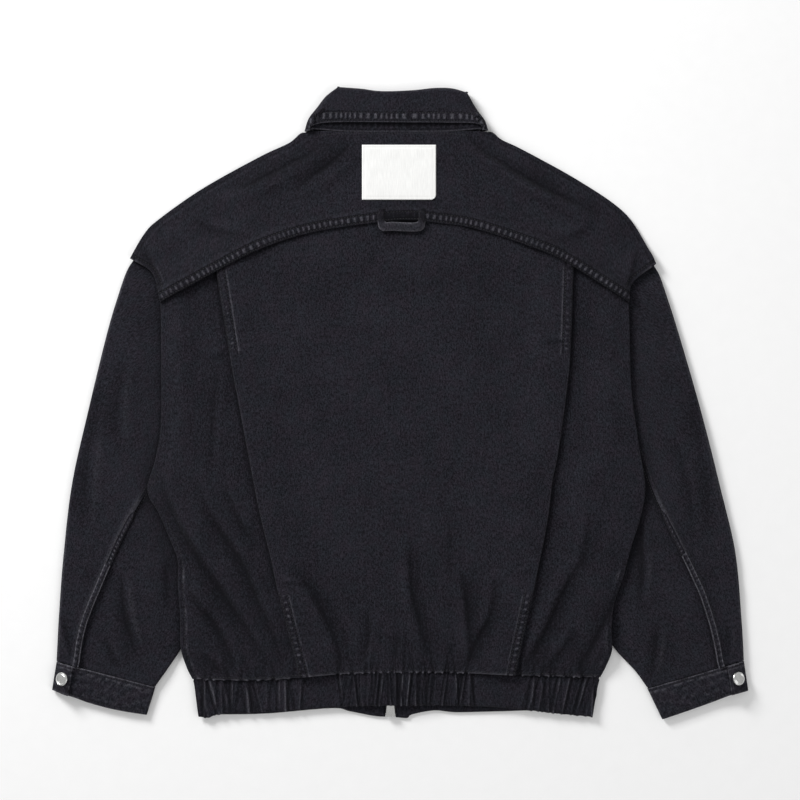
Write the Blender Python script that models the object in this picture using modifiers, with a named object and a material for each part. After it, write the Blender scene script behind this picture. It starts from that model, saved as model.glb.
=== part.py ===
"""Zip-front denim jacket, laid flat on its front with its back up.

Metres, +Z up, +Y towards the collar, the floor at z = 0. The tables give plan
positions in millimetres, as (x, y) seen from above. Left is the wearer's left,
which is also the left of this view.
"""

import math

import bmesh
import bpy
import numpy as np
from mathutils import Vector

MM = 0.001

# Cloth, in millimetres
WALL = 1.5            # one layer of denim
DOUBLE = 2.6          # two layers stitched together
SEAM = 0.35           # clearance between pieces that are sewn together
LAP = 0.45            # clearance between two lapped layers
FELL = 10.5           # width of the felled yoke seam
SLEEVE_FELL = 7.0     # width of the felled sleeve seam
HOLLOW = 3.4          # space between the fronts and the back
SLEEVE_HEIGHT = 6.2   # flattened sleeve
TUCKED_HEIGHT = 4.2   # sleeve where the body lies on it
SIDE_LIFT = 5.2       # height of the fronts where they lie on the sleeves
BAND_GAP = 0.9        # between the back panel's lower edge and its band
BAND_CLEARANCE = 0.6  # between the back band and the front ones
BAND_OVER_ZIP = 2.4   # how far the back band rises over the zip
EDGE_HOLLOW = 0.8     # the same at the side and shoulder seams
COLLAR_HEIGHT = 12.8  # four layers of collar
TUCK_DEPTH = 10.0     # how far each back tuck folds under
TUCK_PITCH = 2.15     # from one layer of a tuck to the next
CUFF_HEIGHT = 5.9     # flattened cuff, away from its tab
TAB_HEIGHT = 12.5     # cuff under its snap, where it stands up
TAB_LEAN = 30.0       # degrees, slope of the tab beside the cuff's outer edge
TAB_BEND = 2.8        # outer radius of the cuff's outer fold
SNAP_FROM_EDGE = 10.5  # from the cuff's outer edge to the middle of the snap
LABEL_THICK = 0.8
LOOP_THICK = 2.0
YOKE_LIFT = WALL + LAP + 0.35     # how far the yoke lies above the back panel at its seam

# Where heights change: from and to, in millimetres
SLEEVE_RAMP = (3, 32)          # from a sleeve's hidden end, where the fronts come down off it
COLLAR_RAMP_Y = (110, 160)     # up the fronts, where they rise over the collar's fronts
COLLAR_RAMP_X = (140, 200)     # from the neck's middle, where they come down again
NECK_X = -5
EDGE_RAMP = (0, 26)            # from the side and shoulder seams, where the hollow opens
ZIP_RIDGE_RAMP = (18, 60)      # from the zip's centre line
ZIP_RIDGE_RAMP_Y = (-300, -230)
BAND_RAMP = (-302, -262)       # above the hem bands, down to one layer of cloth
ZIP_BAND_RAMP = (-305, -280)   # where the zip comes down off the bands
ZIP_NECK_RAMP = (98, 148)      # where it rises over the collar's fronts
TUCK_RAMP = (13, 55)           # from a tuck's edge, where the middle panel comes down
FOLD_RAMP = (4, 18)            # from a tuck's edge, where the folds begin
TUCKED_RAMP = (6, 34)          # from the body's edge, where a sleeve reaches its full height
SLEEVE_FOLD_RAMP = (4, 16)     # from the body's edge, where its folds begin
LAP_RAMP = (20, 30)            # from the body's edge, where the sleeve seam begins to lap
ON_TOP_RAMP = (3, 14)          # from the body's edge, where the top sleeve rises over its lap

# Zip, in millimetres
ZIP_X = -10.5
ZIP_SLOT = 5.8        # from the zip's centre line to each front edge
TAPE_WIDTH = 12.4
TAPE_THICK = 0.8
CHAIN_WIDTH = 4.6
CHAIN_THICK = 1.6
ZIP_LEVEL = 2.3           # height of the middle of the chain between the fronts
ZIP_OVER_BAND = 2.0       # how far it rises over the hem bands
ZIP_OVER_COLLAR = 3.2     # and over the collar's fronts
ZIP_RIDGE = 0.6           # how far the back rises over the zip
LOWER_SLIDER_Y = -339.2
UPPER_SLIDER_Y = 219.0

# Plan curves of the body, (x, y) from below upwards
LEFT_SIDE = [(-228, -304), (-234, -291), (-240.5, -268), (-241, -236), (-243.5, -200), (-244, -172),
             (-251, -153), (-264, -122), (-277, -96), (-268, -60), (-262, -19), (-262, 71),
             (-263, 117)]
RIGHT_SIDE = [(220, -302), (226, -290), (232.5, -271), (231.5, -247), (235, -220), (245.5, -189),
              (254.5, -155), (264, -125), (269, -91), (262, -45), (254, 15), (252, 74), (251, 117)]
LEFT_YOKE_END = [(-263, 117), (-271.7, 143), (-296, 159.5)]
RIGHT_YOKE_END = [(251, 117), (255.5, 133), (281, 153.5)]
YOKE_SEAM = [(-263, 117), (-202, 150.5), (-158, 173), (-117, 188), (-71, 198), (0, 206.5), (44, 203.5),
             (84, 197), (145, 177), (184, 159.5), (251, 117)]
NECK_SEAM_BACK = [(-60, 298), (-5, 298.2), (50, 298)]
LEFT_SHOULDER = [(-296, 159.5), (-281, 186.5), (-264, 203), (-216, 236.5), (-154, 270.5),
                 (-123, 285), (-103, 297.5)]
RIGHT_SHOULDER = [(94, 298), (114, 288), (137, 277), (199, 243), (248, 208), (274.5, 167),
                  (281, 153.5)]
HEM_SEAM = [(-228, -304), (-150, -305), (-60, -298), (40, -296.5), (130, -299.5), (220, -302)]
BAND_FOOT = [(-222, -346), (-210, -346.5), (-194, -342.5), (-119, -339), (-60, -334.5), (5, -333),
             (80, -334), (134, -338), (170, -342), (212, -346)]
FRONT_SEAM_Y = -309.0     # where the front bands are sewn on
FRONT_NECK = [(-72, 262), (-44, 238)]     # on the left front; the right one mirrors it at the zip
FRONT_TOP_Y = 232.0       # upper end of the fronts' edges beside the zip
LEFT_BAND_FOOT = [(-220, -343.5), (-150, -342.5), (-76, -336.5), (-55, -340), (-29, -345),
                  (ZIP_X - ZIP_SLOT, -346)]
RIGHT_BAND_FOOT = [(ZIP_X + ZIP_SLOT, -346.5), (8, -347.3), (13, -343.5), (38, -339), (62, -341),
                   (110, -340), (160, -339), (210, -343)]

# Fold edge of each back tuck, from the yoke seam down to the hem band
LEFT_TUCK = [(-203, 150), (-188, 58), (-178, 3), (-165, -66), (-154, -122), (-141, -175),
             (-135, -204), (-110, -302)]
RIGHT_TUCK = [(191, 154), (188, 68), (184, 18), (173, -60), (168, -83), (162, -131), (150, -191),
              (127, -299)]

# Sleeves. The outer edge and the hidden inner edge run from the cuff up to the armhole
LEFT_SLEEVE = {
    "outer": [(-378.5, -284), (-376, -236), (-371, -169), (-361.5, -89), (-343.5, -8), (-323, 76.5),
              (-309.5, 122), (-301, 146), (-293.5, 158)],
    "inner": [(-269.5, -312), (-254, -290), (-240, -268), (-230, -240), (-227, -205), (-230, -165),
              (-222, -92)],
    "mouth": [(-293.5, 158), (-266, 139), (-252, 108), (-246, 60), (-246, 0), (-245, -45),
              (-239, -76), (-222, -92)],
    "seam": [(-357.5, -287), (-349, -242), (-321, -175), (-301, -133), (-276, -91), (-258, -62),
             (-240, -48)],
    "cuff": [(-378.5, -284), (-269.5, -312)],
    "cuff_foot": [(-383.5, -316), (-360, -323.5), (-340, -331), (-310, -338.5), (-279, -343.5)],
}
RIGHT_SLEEVE = {
    "outer": [(379, -283), (376.5, -239), (369.5, -164), (352, -89), (331.5, -8), (307.5, 75.5),
              (293, 121), (286, 141), (279.5, 152)],
    "inner": [(272.5, -313.5), (259, -295), (236.5, -270.5), (222, -245), (216, -215), (219, -165),
              (210, -92)],
    "mouth": [(279.5, 152), (250, 130), (241, 106), (237, 60), (237, 0), (235, -45), (228, -76),
              (210, -92)],
    "seam": [(353, -284), (346, -250), (333, -209), (308, -156), (282, -102), (264, -55), (250, -30),
             (235, -20)],
    "cuff": [(379, -283), (272.5, -313.5)],
    "cuff_foot": [(384, -317), (365, -321), (345, -329), (320, -338), (289, -348.5)],
}

# Largest folds of the back: plan points, height and half width in millimetres
BACK_FOLDS = [
    {"name": "left drag", "run": [(-266, -75), (-244, -128), (-218, -175), (-160, -262)],
     "height": 4.5, "half": 17},
    {"name": "left inner drag", "run": [(-228, -72), (-190, -150), (-155, -225), (-132, -290)],
     "height": 3.5, "half": 15},
    {"name": "left hem", "run": [(-237, -203), (-205, -250), (-178, -298)], "height": 3, "half": 15},
    {"name": "centre left", "run": [(-131, -180), (-95, -212), (-66, -285)], "height": 3.5, "half": 15},
    {"name": "centre", "run": [(-36, -222), (-38, -262), (-46, -288)], "height": 2.5, "half": 13},
    {"name": "centre right", "run": [(12, -172), (22, -232), (33, -282)], "height": 3, "half": 14},
    {"name": "right centre", "run": [(70, -192), (79, -240), (76, -286)], "height": 3, "half": 14},
    {"name": "right drag", "run": [(201, -178), (174, -232), (148, -280)], "height": 4, "half": 16},
    {"name": "right hem", "run": [(231, -225), (210, -262), (192, -296)], "height": 3, "half": 14},
    {"name": "left side", "run": [(-200, 30), (-206, -90)], "height": 2, "half": 16},
]
YOKE_FOLDS = [
    {"name": "left neck", "run": [(-81, 283), (-136, 255), (-190, 236)], "height": 3.5, "half": 14},
    {"name": "left collar", "run": [(-53, 286), (-95, 250), (-118, 232)], "height": 2.5, "half": 13},
    {"name": "right neck", "run": [(73, 297), (134, 250), (190, 222), (220, 208)], "height": 4.5,
     "half": 15},
]
SLEEVE_FOLDS = [
    {"name": "left elbow", "run": [(-307, -197), (-298, -240), (-290, -275)], "height": 3, "half": 14},
    {"name": "left crook", "run": [(-256, -175), (-257, -222)], "height": 2.5, "half": 13},
    {"name": "left top", "run": [(-330, 20), (-345, -70), (-350, -150)], "height": 2, "half": 18},
    {"name": "right elbow", "run": [(265, -137), (263, -220)], "height": 3, "half": 13},
    {"name": "right wrist", "run": [(282, -253), (276, -300)], "height": 2.5, "half": 13},
    {"name": "right top", "run": [(318, 20), (334, -70), (343, -150)], "height": 2, "half": 18},
]

# Gathers of the back hem band: from x, to x, and how many
GATHERS = [
    {"from": -220.0, "to": -105.0, "count": 9},
    {"from": -68.0, "to": 80.0, "count": 19},
    {"from": 130.0, "to": 211.0, "count": 8},
]
GATHER_HEIGHT = 1.7

# Colours, roughness and metallic value of the materials
DENIM = ((0.019, 0.019, 0.025), 0.93, 0.0)
LABEL = ((0.75, 0.74, 0.69), 0.85, 0.0)
TAPE = ((0.012, 0.012, 0.014), 0.8, 0.0)
STEEL = ((0.62, 0.62, 0.60), 0.32, 1.0)


def smooth(low, high, value):
    """0 below low, 1 above high, with an even slope at both ends."""
    share = min(1.0, max(0.0, (value - low) / (high - low)))
    return share * share * (3 - 2 * share)


def curve(points, steps=96):
    """A smooth curve through the points, as a function of the share of its length."""
    ends = [np.array(p, float) for p in points]
    ends = [2 * ends[0] - ends[1], *ends, 2 * ends[-1] - ends[-2]]
    path = []
    for a, b, c, d in zip(ends, ends[1:], ends[2:], ends[3:]):
        for t in np.linspace(0, 1, steps // (len(points) - 1) + 2)[:-1]:
            path.append(0.5 * (2 * b + (c - a) * t + (2 * a - 5 * b + 4 * c - d) * t**2
                               + (3 * b - a - 3 * c + d) * t**3))
    path.append(ends[-2])
    path = np.array(path)
    length = np.concatenate([[0], np.cumsum(np.hypot(*np.diff(path, axis=0).T))])
    length /= length[-1]
    return lambda share: np.array([np.interp(share, length, path[:, 0]),
                                   np.interp(share, length, path[:, 1])])


def patch(bottom, top, left, right):
    """The plan of a panel, from its four edges."""
    def place(u, v):
        corners = ((1 - u) * (1 - v) * bottom(0) + u * (1 - v) * bottom(1)
                   + (1 - u) * v * top(0) + u * v * top(1))
        return (1 - v) * bottom(u) + v * top(u) + (1 - u) * left(v) + u * right(v) - corners
    return place


class Polyline:
    """A plan line that can say how far a point is from it, and how far along."""

    def __init__(self, points, steps=24):
        path = curve(points)
        self.points = np.array([path(i / steps) for i in range(steps + 1)])
        self.spans = np.diff(self.points, axis=0)
        order = self.points[:, 1].argsort()
        self.heights, self.across = self.points[order, 1], self.points[order, 0]
        self.squares = (self.spans**2).sum(axis=1)

    def near(self, x, y):
        offset = np.array([x, y]) - self.points[:-1]
        along = np.clip((offset * self.spans).sum(axis=1) / self.squares, 0, 1)
        away = np.hypot(*(offset - along[:, None] * self.spans).T)
        best = int(away.argmin())
        return float(away[best]), (best + float(along[best])) / len(self.spans)


BODY_EDGES = [Polyline(points) for points in (
    LEFT_SIDE, RIGHT_SIDE, LEFT_YOKE_END, RIGHT_YOKE_END, LEFT_SHOULDER, RIGHT_SHOULDER)]
SLEEVE_EDGES = {"left": Polyline(LEFT_SIDE[2:] + LEFT_YOKE_END[1:], 48),
                "right": Polyline(RIGHT_SIDE[2:] + RIGHT_YOKE_END[1:], 48)}
SLEEVE_ENDS = {side: Polyline(shape["inner"] + shape["mouth"][-2::-1], 48)
               for side, shape in (("left", LEFT_SLEEVE), ("right", RIGHT_SLEEVE))}
FOLD_LINES = {id(fold): Polyline(fold["run"], 12) for fold in BACK_FOLDS + YOKE_FOLDS + SLEEVE_FOLDS}


def folds(table, x, y):
    """Height of the soft ridges of a table at a plan point."""
    total = 0.0
    for fold in table:
        away, along = FOLD_LINES[id(fold)].near(x, y)
        if away < fold["half"]:
            swell = math.sin(math.pi * min(1, max(0, 0.12 + 0.76 * along)))
            total += fold["height"] * swell * math.cos(math.pi / 2 * away / fold["half"])**2
    return total


def from_edge(x, y):
    """Distance from the body's side, armhole and shoulder edges."""
    return min(edge.near(x, y)[0] for edge in BODY_EDGES)


def beyond(line, x, y, side):
    """How far a point lies beyond a line towards the middle of the body, 0 on its outer side."""
    limit = float(np.interp(y, line.heights, line.across))
    inside = x > limit if side == "left" else x < limit
    return line.near(x, y)[0] if inside else 0.0


def front_floor(x, y):
    """Height of the outer face of the fronts: 0, or what lies under them."""
    side = "left" if x < 0 else "right"
    on_sleeve = 1 - smooth(*SLEEVE_RAMP, beyond(SLEEVE_ENDS[side], x, y, side))
    on_collar = smooth(*COLLAR_RAMP_Y, y) * (1 - smooth(*COLLAR_RAMP_X, abs(x - NECK_X)))
    return max(SIDE_LIFT * on_sleeve, (DOUBLE + LAP) * on_collar)


def zip_height(y):
    """Height of the middle of the zip's chain."""
    at_band = 1 - smooth(*ZIP_BAND_RAMP, y)
    at_neck = smooth(*ZIP_NECK_RAMP, y)
    return ZIP_LEVEL + ZIP_OVER_BAND * at_band + ZIP_OVER_COLLAR * at_neck


def back_top(x, y):
    """Height of the outer face of the back, without its folds."""
    hollow = EDGE_HOLLOW + (HOLLOW - EDGE_HOLLOW) * smooth(*EDGE_RAMP, from_edge(x, y))
    beside_zip = smooth(*ZIP_RIDGE_RAMP, abs(x - ZIP_X))
    over_zip = (1 - beside_zip) * (1 - smooth(*ZIP_RIDGE_RAMP_Y, y))
    over_band = (DOUBLE - WALL + 0.2) * (1 - smooth(*BAND_RAMP, y))
    return front_floor(x, y) + 2 * WALL + hollow + over_band + ZIP_RIDGE * over_zip


def material(name, look):
    colour, roughness, metallic = look
    made = bpy.data.materials.new(name)
    made.use_nodes = True
    shader = made.node_tree.nodes["Principled BSDF"]
    shader.inputs["Base Color"].default_value = (*colour, 1)
    shader.inputs["Roughness"].default_value = roughness
    shader.inputs["Metallic"].default_value = metallic
    made.diffuse_color = (*colour, 1)
    return made


def piece(name, mesh, look, collection):
    made = bpy.data.objects.new(name, mesh)
    mesh.materials.append(material(name, look))
    collection.objects.link(made)
    return made


def cloth(name, us, vs, place, wall, look, collection, offset=-1.0, flip=False):
    """A wall of cloth. place(u, v) gives a point of its surface in millimetres."""
    grid = bmesh.new()
    bmesh.ops.create_grid(grid, x_segments=len(us) - 1, y_segments=len(vs) - 1, size=0.5)
    for vert in grid.verts:
        column = round((vert.co.x + 0.5) * (len(us) - 1))
        row = round((vert.co.y + 0.5) * (len(vs) - 1))
        vert.co = Vector(place(us[column], vs[row])) * MM
    if flip:
        bmesh.ops.reverse_faces(grid, faces=grid.faces)
    mesh = bpy.data.meshes.new(name)
    grid.to_mesh(mesh)
    grid.free()
    made = piece(name, mesh, look, collection)
    solid = made.modifiers.new("Wall", "SOLIDIFY")
    solid.thickness = wall * MM
    solid.offset = offset
    solid.use_quality_normals = True
    mesh.shade_smooth()
    mesh.set_sharp_from_angle(angle=math.radians(50))
    return made


def even(count, start=0.0, end=1.0):
    return [start + (end - start) * i / count for i in range(count + 1)]


def raised(plan, height):
    """A surface over a plan, at height(x, y, v)."""
    def place(u, v):
        x, y = plan(u, v)
        return x, y, height(x, y, v)
    return place


def seam_shift(path, shift):
    """A plan curve moved in y, for the two sides of a lapped seam."""
    return lambda share: path(share) + np.array([0, shift])


# ---------------------------------------------------------------- body

def make_back(collection):
    """The back panel, with a tuck folded under at each side of its middle."""
    sides = [curve(side[:-1] + [(side[-1][0], side[-1][1] + FELL / 2 - 1)])
             for side in (LEFT_SIDE, RIGHT_SIDE)]
    plan = patch(curve(HEM_SEAM), curve(YOKE_SEAM), *sides)
    left_tuck, right_tuck = Polyline(LEFT_TUCK, 48), Polyline(RIGHT_TUCK, 48)
    lift = 2 * TUCK_PITCH

    def tuck_x(tuck, y):
        return float(np.interp(y, tuck.points[::-1, 1], tuck.points[::-1, 0]))

    def level(x, y):
        """Middle of the wall where it lies open."""
        near = min(abs(x - tuck_x(left_tuck, y)), abs(x - tuck_x(right_tuck, y)))
        between = tuck_x(left_tuck, y) < x < tuck_x(right_tuck, y)
        rise = lift * (1 - smooth(*TUCK_RAMP, near)) if between else 0
        return back_top(x, y) - WALL / 2 + rise + folds(BACK_FOLDS, x, y) * smooth(*FOLD_RAMP, near)

    side, middle = even(6), [0, 0.045, 0.1, 0.17, *even(8, 0.25, 0.75), 0.83, 0.9, 0.955, 1]
    columns = [("left", u) for u in side[:-1]] + [("left tuck", i) for i in range(6)]
    columns += [("middle", u) for u in middle[1:-1]]
    columns += [("right tuck", 5 - i) for i in range(6)] + [("right", u) for u in side[1:]]
    # plan shift from the fold edge, towards the middle, and the layer height of each tuck column
    bend = 0.9
    tuck_columns = [(TUCK_DEPTH, 2.0), (TUCK_DEPTH + bend, 1.5), (TUCK_DEPTH, 1.0), (bend, 1.0),
                    (0.0, 0.5), (bend, 0.0)]
    reach = TUCK_DEPTH / 2     # how far the side panels' even columns run under the tucks

    def place(column, v):
        kind, value = columns[column]
        left_edge, right_edge = plan(0, v), plan(1, v)
        y = float(plan(0.5, v)[1])
        for _ in range(3):  # settle on the plan's own y at the x that is wanted
            from_x = tuck_x(left_tuck, y)
            to_x = tuck_x(right_tuck, y)
            if kind == "left":
                x = left_edge[0] + (from_x + reach - left_edge[0]) * value
            elif kind == "right":
                x = to_x - reach + (right_edge[0] - to_x + reach) * value
            elif kind == "middle":
                x = from_x + bend + (to_x - from_x - 2 * bend) * value
            elif kind == "left tuck":
                x = from_x + tuck_columns[value][0]
            else:
                x = to_x - tuck_columns[value][0]
            share = (x - left_edge[0]) / (right_edge[0] - left_edge[0])
            y = float(plan(min(1, max(0, share)), v)[1])
        if "tuck" in kind:
            layer = tuck_columns[value][1]
            above = max(x, from_x + bend) if kind == "left tuck" else min(x, to_x - bend)
            z = level(above, y) - layer * TUCK_PITCH
        else:
            z = level(x, y)
        return x, y, z

    return cloth("back_panel", list(range(len(columns))), even(20), place, WALL, DENIM, collection,
                 offset=0.0)


def make_yoke(collection):
    shoulder = curve(LEFT_SHOULDER + NECK_SEAM_BACK + RIGHT_SHOULDER)
    ends = [curve([(end[0][0], end[0][1] - FELL / 2)] + end[1:])
            for end in (LEFT_YOKE_END, RIGHT_YOKE_END)]
    plan = patch(curve(YOKE_SEAM), shoulder, *ends)
    seam_line = Polyline(YOKE_SEAM, 48)

    def height(x, y, _):
        away = seam_line.near(x, y)[0]
        below = y < np.interp(x, seam_line.points[:, 0], seam_line.points[:, 1])
        lap = 1.0 if below else 1 - smooth(FELL / 2 + 1, FELL / 2 + 9, away)
        above_seam = 0.0 if below else away
        near_tuck = min(abs(x - LEFT_TUCK[0][0]), abs(x - RIGHT_TUCK[0][0]))
        over_tuck = (1 - smooth(20, 75, near_tuck)) * (1 - smooth(FELL / 2, FELL / 2 + 34, above_seam))
        raised_by = YOKE_LIFT * lap + 2 * TUCK_PITCH * over_tuck
        return back_top(x, y) + raised_by + folds(YOKE_FOLDS, x, y)

    rows = [0.0, 0.05, 0.1, 0.15, 0.2, 0.3, 0.45, 0.6, 0.8, 1.0]
    return cloth("back_yoke", even(32), rows, raised(plan, height), WALL, DENIM, collection)


def make_front(collection, side):
    """One front, from the hem band to the shoulder."""
    left = side == "left"
    edge = LEFT_SIDE + LEFT_YOKE_END[1:] if left else RIGHT_SIDE + RIGHT_YOKE_END[1:]
    outer = curve(edge)
    x = ZIP_X - ZIP_SLOT if left else ZIP_X + ZIP_SLOT
    inner = curve([(x, FRONT_SEAM_Y + 2 * SEAM), (x, FRONT_TOP_Y)])
    neck = [(a if left else 2 * ZIP_X - a, b) for a, b in FRONT_NECK]
    if left:
        top = curve(LEFT_SHOULDER + neck + [(x, FRONT_TOP_Y)])
        foot = curve([edge[0], (x, FRONT_SEAM_Y + 2 * SEAM)])
        plan = patch(foot, top, outer, inner)
    else:
        top = curve([(x, FRONT_TOP_Y)] + neck[::-1] + RIGHT_SHOULDER)
        foot = curve([(x, FRONT_SEAM_Y + 2 * SEAM), edge[0]])
        plan = patch(foot, top, inner, outer)
    across = [0, 0.04, 0.08, 0.12, 0.16, 0.2, 0.25, 0.33, 0.5, 0.7, 0.9, 1]
    across = across if left else [1 - share for share in across[::-1]]
    return cloth(f"front_{side}", across, even(16), raised(plan, lambda x, y, _: front_floor(x, y)),
                 WALL, DENIM, collection, offset=1.0)


def make_hem_bands(collection):
    """The gathered back band on its elastic, and the two plain front bands on the floor."""
    steps = [-220.0]
    for gather in GATHERS:
        span = (gather["to"] - gather["from"]) / gather["count"]
        if gather["from"] > steps[-1]:
            steps += list(np.linspace(steps[-1], gather["from"], 5)[1:])
        for i in range(gather["count"]):
            steps += [gather["from"] + span * (i + share) for share in (0.25, 0.5, 0.75, 1.0)]
    start, end = steps[0], steps[-1]
    shares = [(x - start) / (end - start) for x in steps]
    sides = [curve([foot, (seam[0], seam[1] - BAND_GAP)])
             for foot, seam in ((BAND_FOOT[0], HEM_SEAM[0]), (BAND_FOOT[-1], HEM_SEAM[-1]))]
    plan = patch(curve(BAND_FOOT), curve(HEM_SEAM), *sides)

    def wave(share):
        x = start + share * (end - start)
        for gather in GATHERS:
            if gather["from"] < x < gather["to"]:
                turn = (x - gather["from"]) / (gather["to"] - gather["from"]) * gather["count"]
                return GATHER_HEIGHT * math.sin(math.pi * turn)**2
        return 0.0

    def place(share, v):
        x, y = plan(share, v)
        over_zip = 1 - smooth(*ZIP_RIDGE_RAMP, abs(x - ZIP_X))
        swell = 0.6 + 0.4 * math.sin(math.pi * v)
        z = 2 * DOUBLE + BAND_CLEARANCE + BAND_OVER_ZIP * over_zip + wave(share) * swell
        return x, y, z

    cloth("hem_band_back", shares, even(3), place, DOUBLE, DENIM, collection)
    left_end, right_end = (HEM_SEAM[0][0], -306), (HEM_SEAM[-1][0], -305)
    left_inner, right_inner = (ZIP_X - ZIP_SLOT, FRONT_SEAM_Y), (ZIP_X + ZIP_SLOT, FRONT_SEAM_Y)
    left = patch(curve(LEFT_BAND_FOOT), curve([left_end, left_inner]),
                 curve([LEFT_BAND_FOOT[0], left_end]), curve([LEFT_BAND_FOOT[-1], left_inner]))
    right = patch(curve(RIGHT_BAND_FOOT), curve([right_inner, right_end]),
                  curve([RIGHT_BAND_FOOT[0], right_inner]), curve([RIGHT_BAND_FOOT[-1], right_end]))
    for name, plan_of_band in (("hem_band_left", left), ("hem_band_right", right)):
        cloth(name, even(10), even(2), raised(plan_of_band, lambda x, y, _: 0.0), DOUBLE, DENIM,
              collection, offset=1.0)


# -------------------------------------------------------------- sleeves

def outside_body(x, y, side):
    """How far a point of the sleeve lies outside the body's edge, 0 under the body."""
    other = "right" if side == "left" else "left"
    return beyond(SLEEVE_EDGES[side], x, y, other)


class Ring:
    """A flattened tube: the floor side, two rounded folds and the upper side."""

    def __init__(self, plan, height, outer_height=None):
        self.plan = plan
        self.height = height
        self.outer_height = outer_height or height

    def point(self, kind, value, v, level=0.0):
        """kind is lower, upper, outer or inner; value a share across, or a turn in degrees."""
        a, b = self.plan(0, v), self.plan(1, v)
        width = float(np.hypot(*(b - a)))
        outer = self.outer_height(*a) / 2
        inner = self.height(*b) / 2
        turn = math.radians(value)
        if kind == "outer":
            x, y = self.plan(outer * (1 - math.sin(turn)) / width, v)
            return x, y, outer - outer * math.cos(turn)
        if kind == "inner":
            x, y = self.plan(1 - inner * (1 - math.sin(turn)) / width, v)
            return x, y, inner + inner * math.cos(turn)
        share = outer / width + value * (1 - (outer + inner) / width)
        x, y = self.plan(share, v)
        return x, y, 0.0 if kind == "lower" else self.height(x, y) + level


def make_sleeve(collection, side):
    shape = LEFT_SLEEVE if side == "left" else RIGHT_SLEEVE
    plan = patch(curve(shape["cuff"]), curve(shape["mouth"]), curve(shape["outer"]),
                 curve(shape["inner"]))
    seam = Polyline(shape["seam"], 48)

    def height(x, y):
        outside = outside_body(x, y, side)
        base = TUCKED_HEIGHT + (SLEEVE_HEIGHT - TUCKED_HEIGHT) * smooth(*TUCKED_RAMP, outside)
        return base + folds(SLEEVE_FOLDS, x, y) * smooth(*SLEEVE_FOLD_RAMP, outside)

    ring = Ring(plan, height)
    rows = even(16)
    widths = {v: float(np.hypot(*(plan(1, v) - plan(0, v)))) for v in rows}
    found = {}
    for v in rows:
        shares = even(160, 0.03, 0.97)
        found[v] = min(shares, key=lambda u: seam.near(*plan(u, v))[0])
    clear = {v: outside_body(*plan(found[v], v), side) for v in rows}
    half = SLEEVE_FELL / 2

    def at_seam(v, shift):
        """Share across, at a distance from the seam. The lap narrows to nothing at the body."""
        lap = smooth(*LAP_RAMP, clear[v])
        butt = math.copysign(SEAM, -shift)
        if abs(shift) < half:
            shift = butt * (1 - lap) + shift * lap
        return found[v] + shift / widths[v]

    top = [("lower", s) for s in (0.75, 0.5, 0.25, 0.0)] + [("outer", t) for t in (45, 90, 135)]
    top += [("to seam", s) for s in (0, 0.2, 0.4, 0.6, 0.8, 1.0)]
    top += [("seam", -half - 1.5), ("seam", half - 0.2)]
    under = [("seam", -half + 0.6), ("seam", half + 2)] + [("to edge", s) for s in (0.2, 0.4, 0.6, 0.8, 1)]
    under += [("inner", t) for t in (45, 90, 135)] + [("lower", 1.0), ("lower", 0.754)]

    def placer(columns, lapped):
        def place(column, v):
            kind, value = columns[column]
            if kind in ("lower", "outer", "inner"):
                return ring.point(kind, value, v)
            if kind == "to seam":
                share = value * at_seam(v, -half - 13)
            elif kind == "to edge":
                first = at_seam(v, half + 2)
                share = first + (1 - first) * value
            else:
                share = at_seam(v, value)
            on_top = smooth(*ON_TOP_RAMP, clear[v]) if lapped and kind == "seam" else 0.0
            return ring.point("upper", max(0, share), v, (WALL + LAP) * on_top)
        return place

    flip = side == "right"
    cloth(f"top_sleeve_{side}", list(range(len(top))), rows, placer(top, True), WALL, DENIM,
          collection, flip=flip)
    cloth(f"under_sleeve_{side}", list(range(len(under))), rows, placer(under, False), WALL, DENIM,
          collection, flip=flip)
    make_placket(collection, side, ring, at_seam, rows)


def make_placket(collection, side, ring, at_seam, rows):
    """The doubled edge of the slit, from the cuff up the sleeve's back seam."""
    end = 0.30 if side == "left" else 0.34
    shares = [v for v in rows if v <= end]
    half = SLEEVE_FELL / 2

    def place(column, v):
        value = (-half - 1.5, half - 0.6)[column]
        return ring.point("upper", at_seam(v, value), v, 2 * WALL + 2 * LAP + 0.4)

    cloth(f"placket_{side}", [0, 1], shares, place, WALL, DENIM, collection, flip=side == "right")


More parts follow.
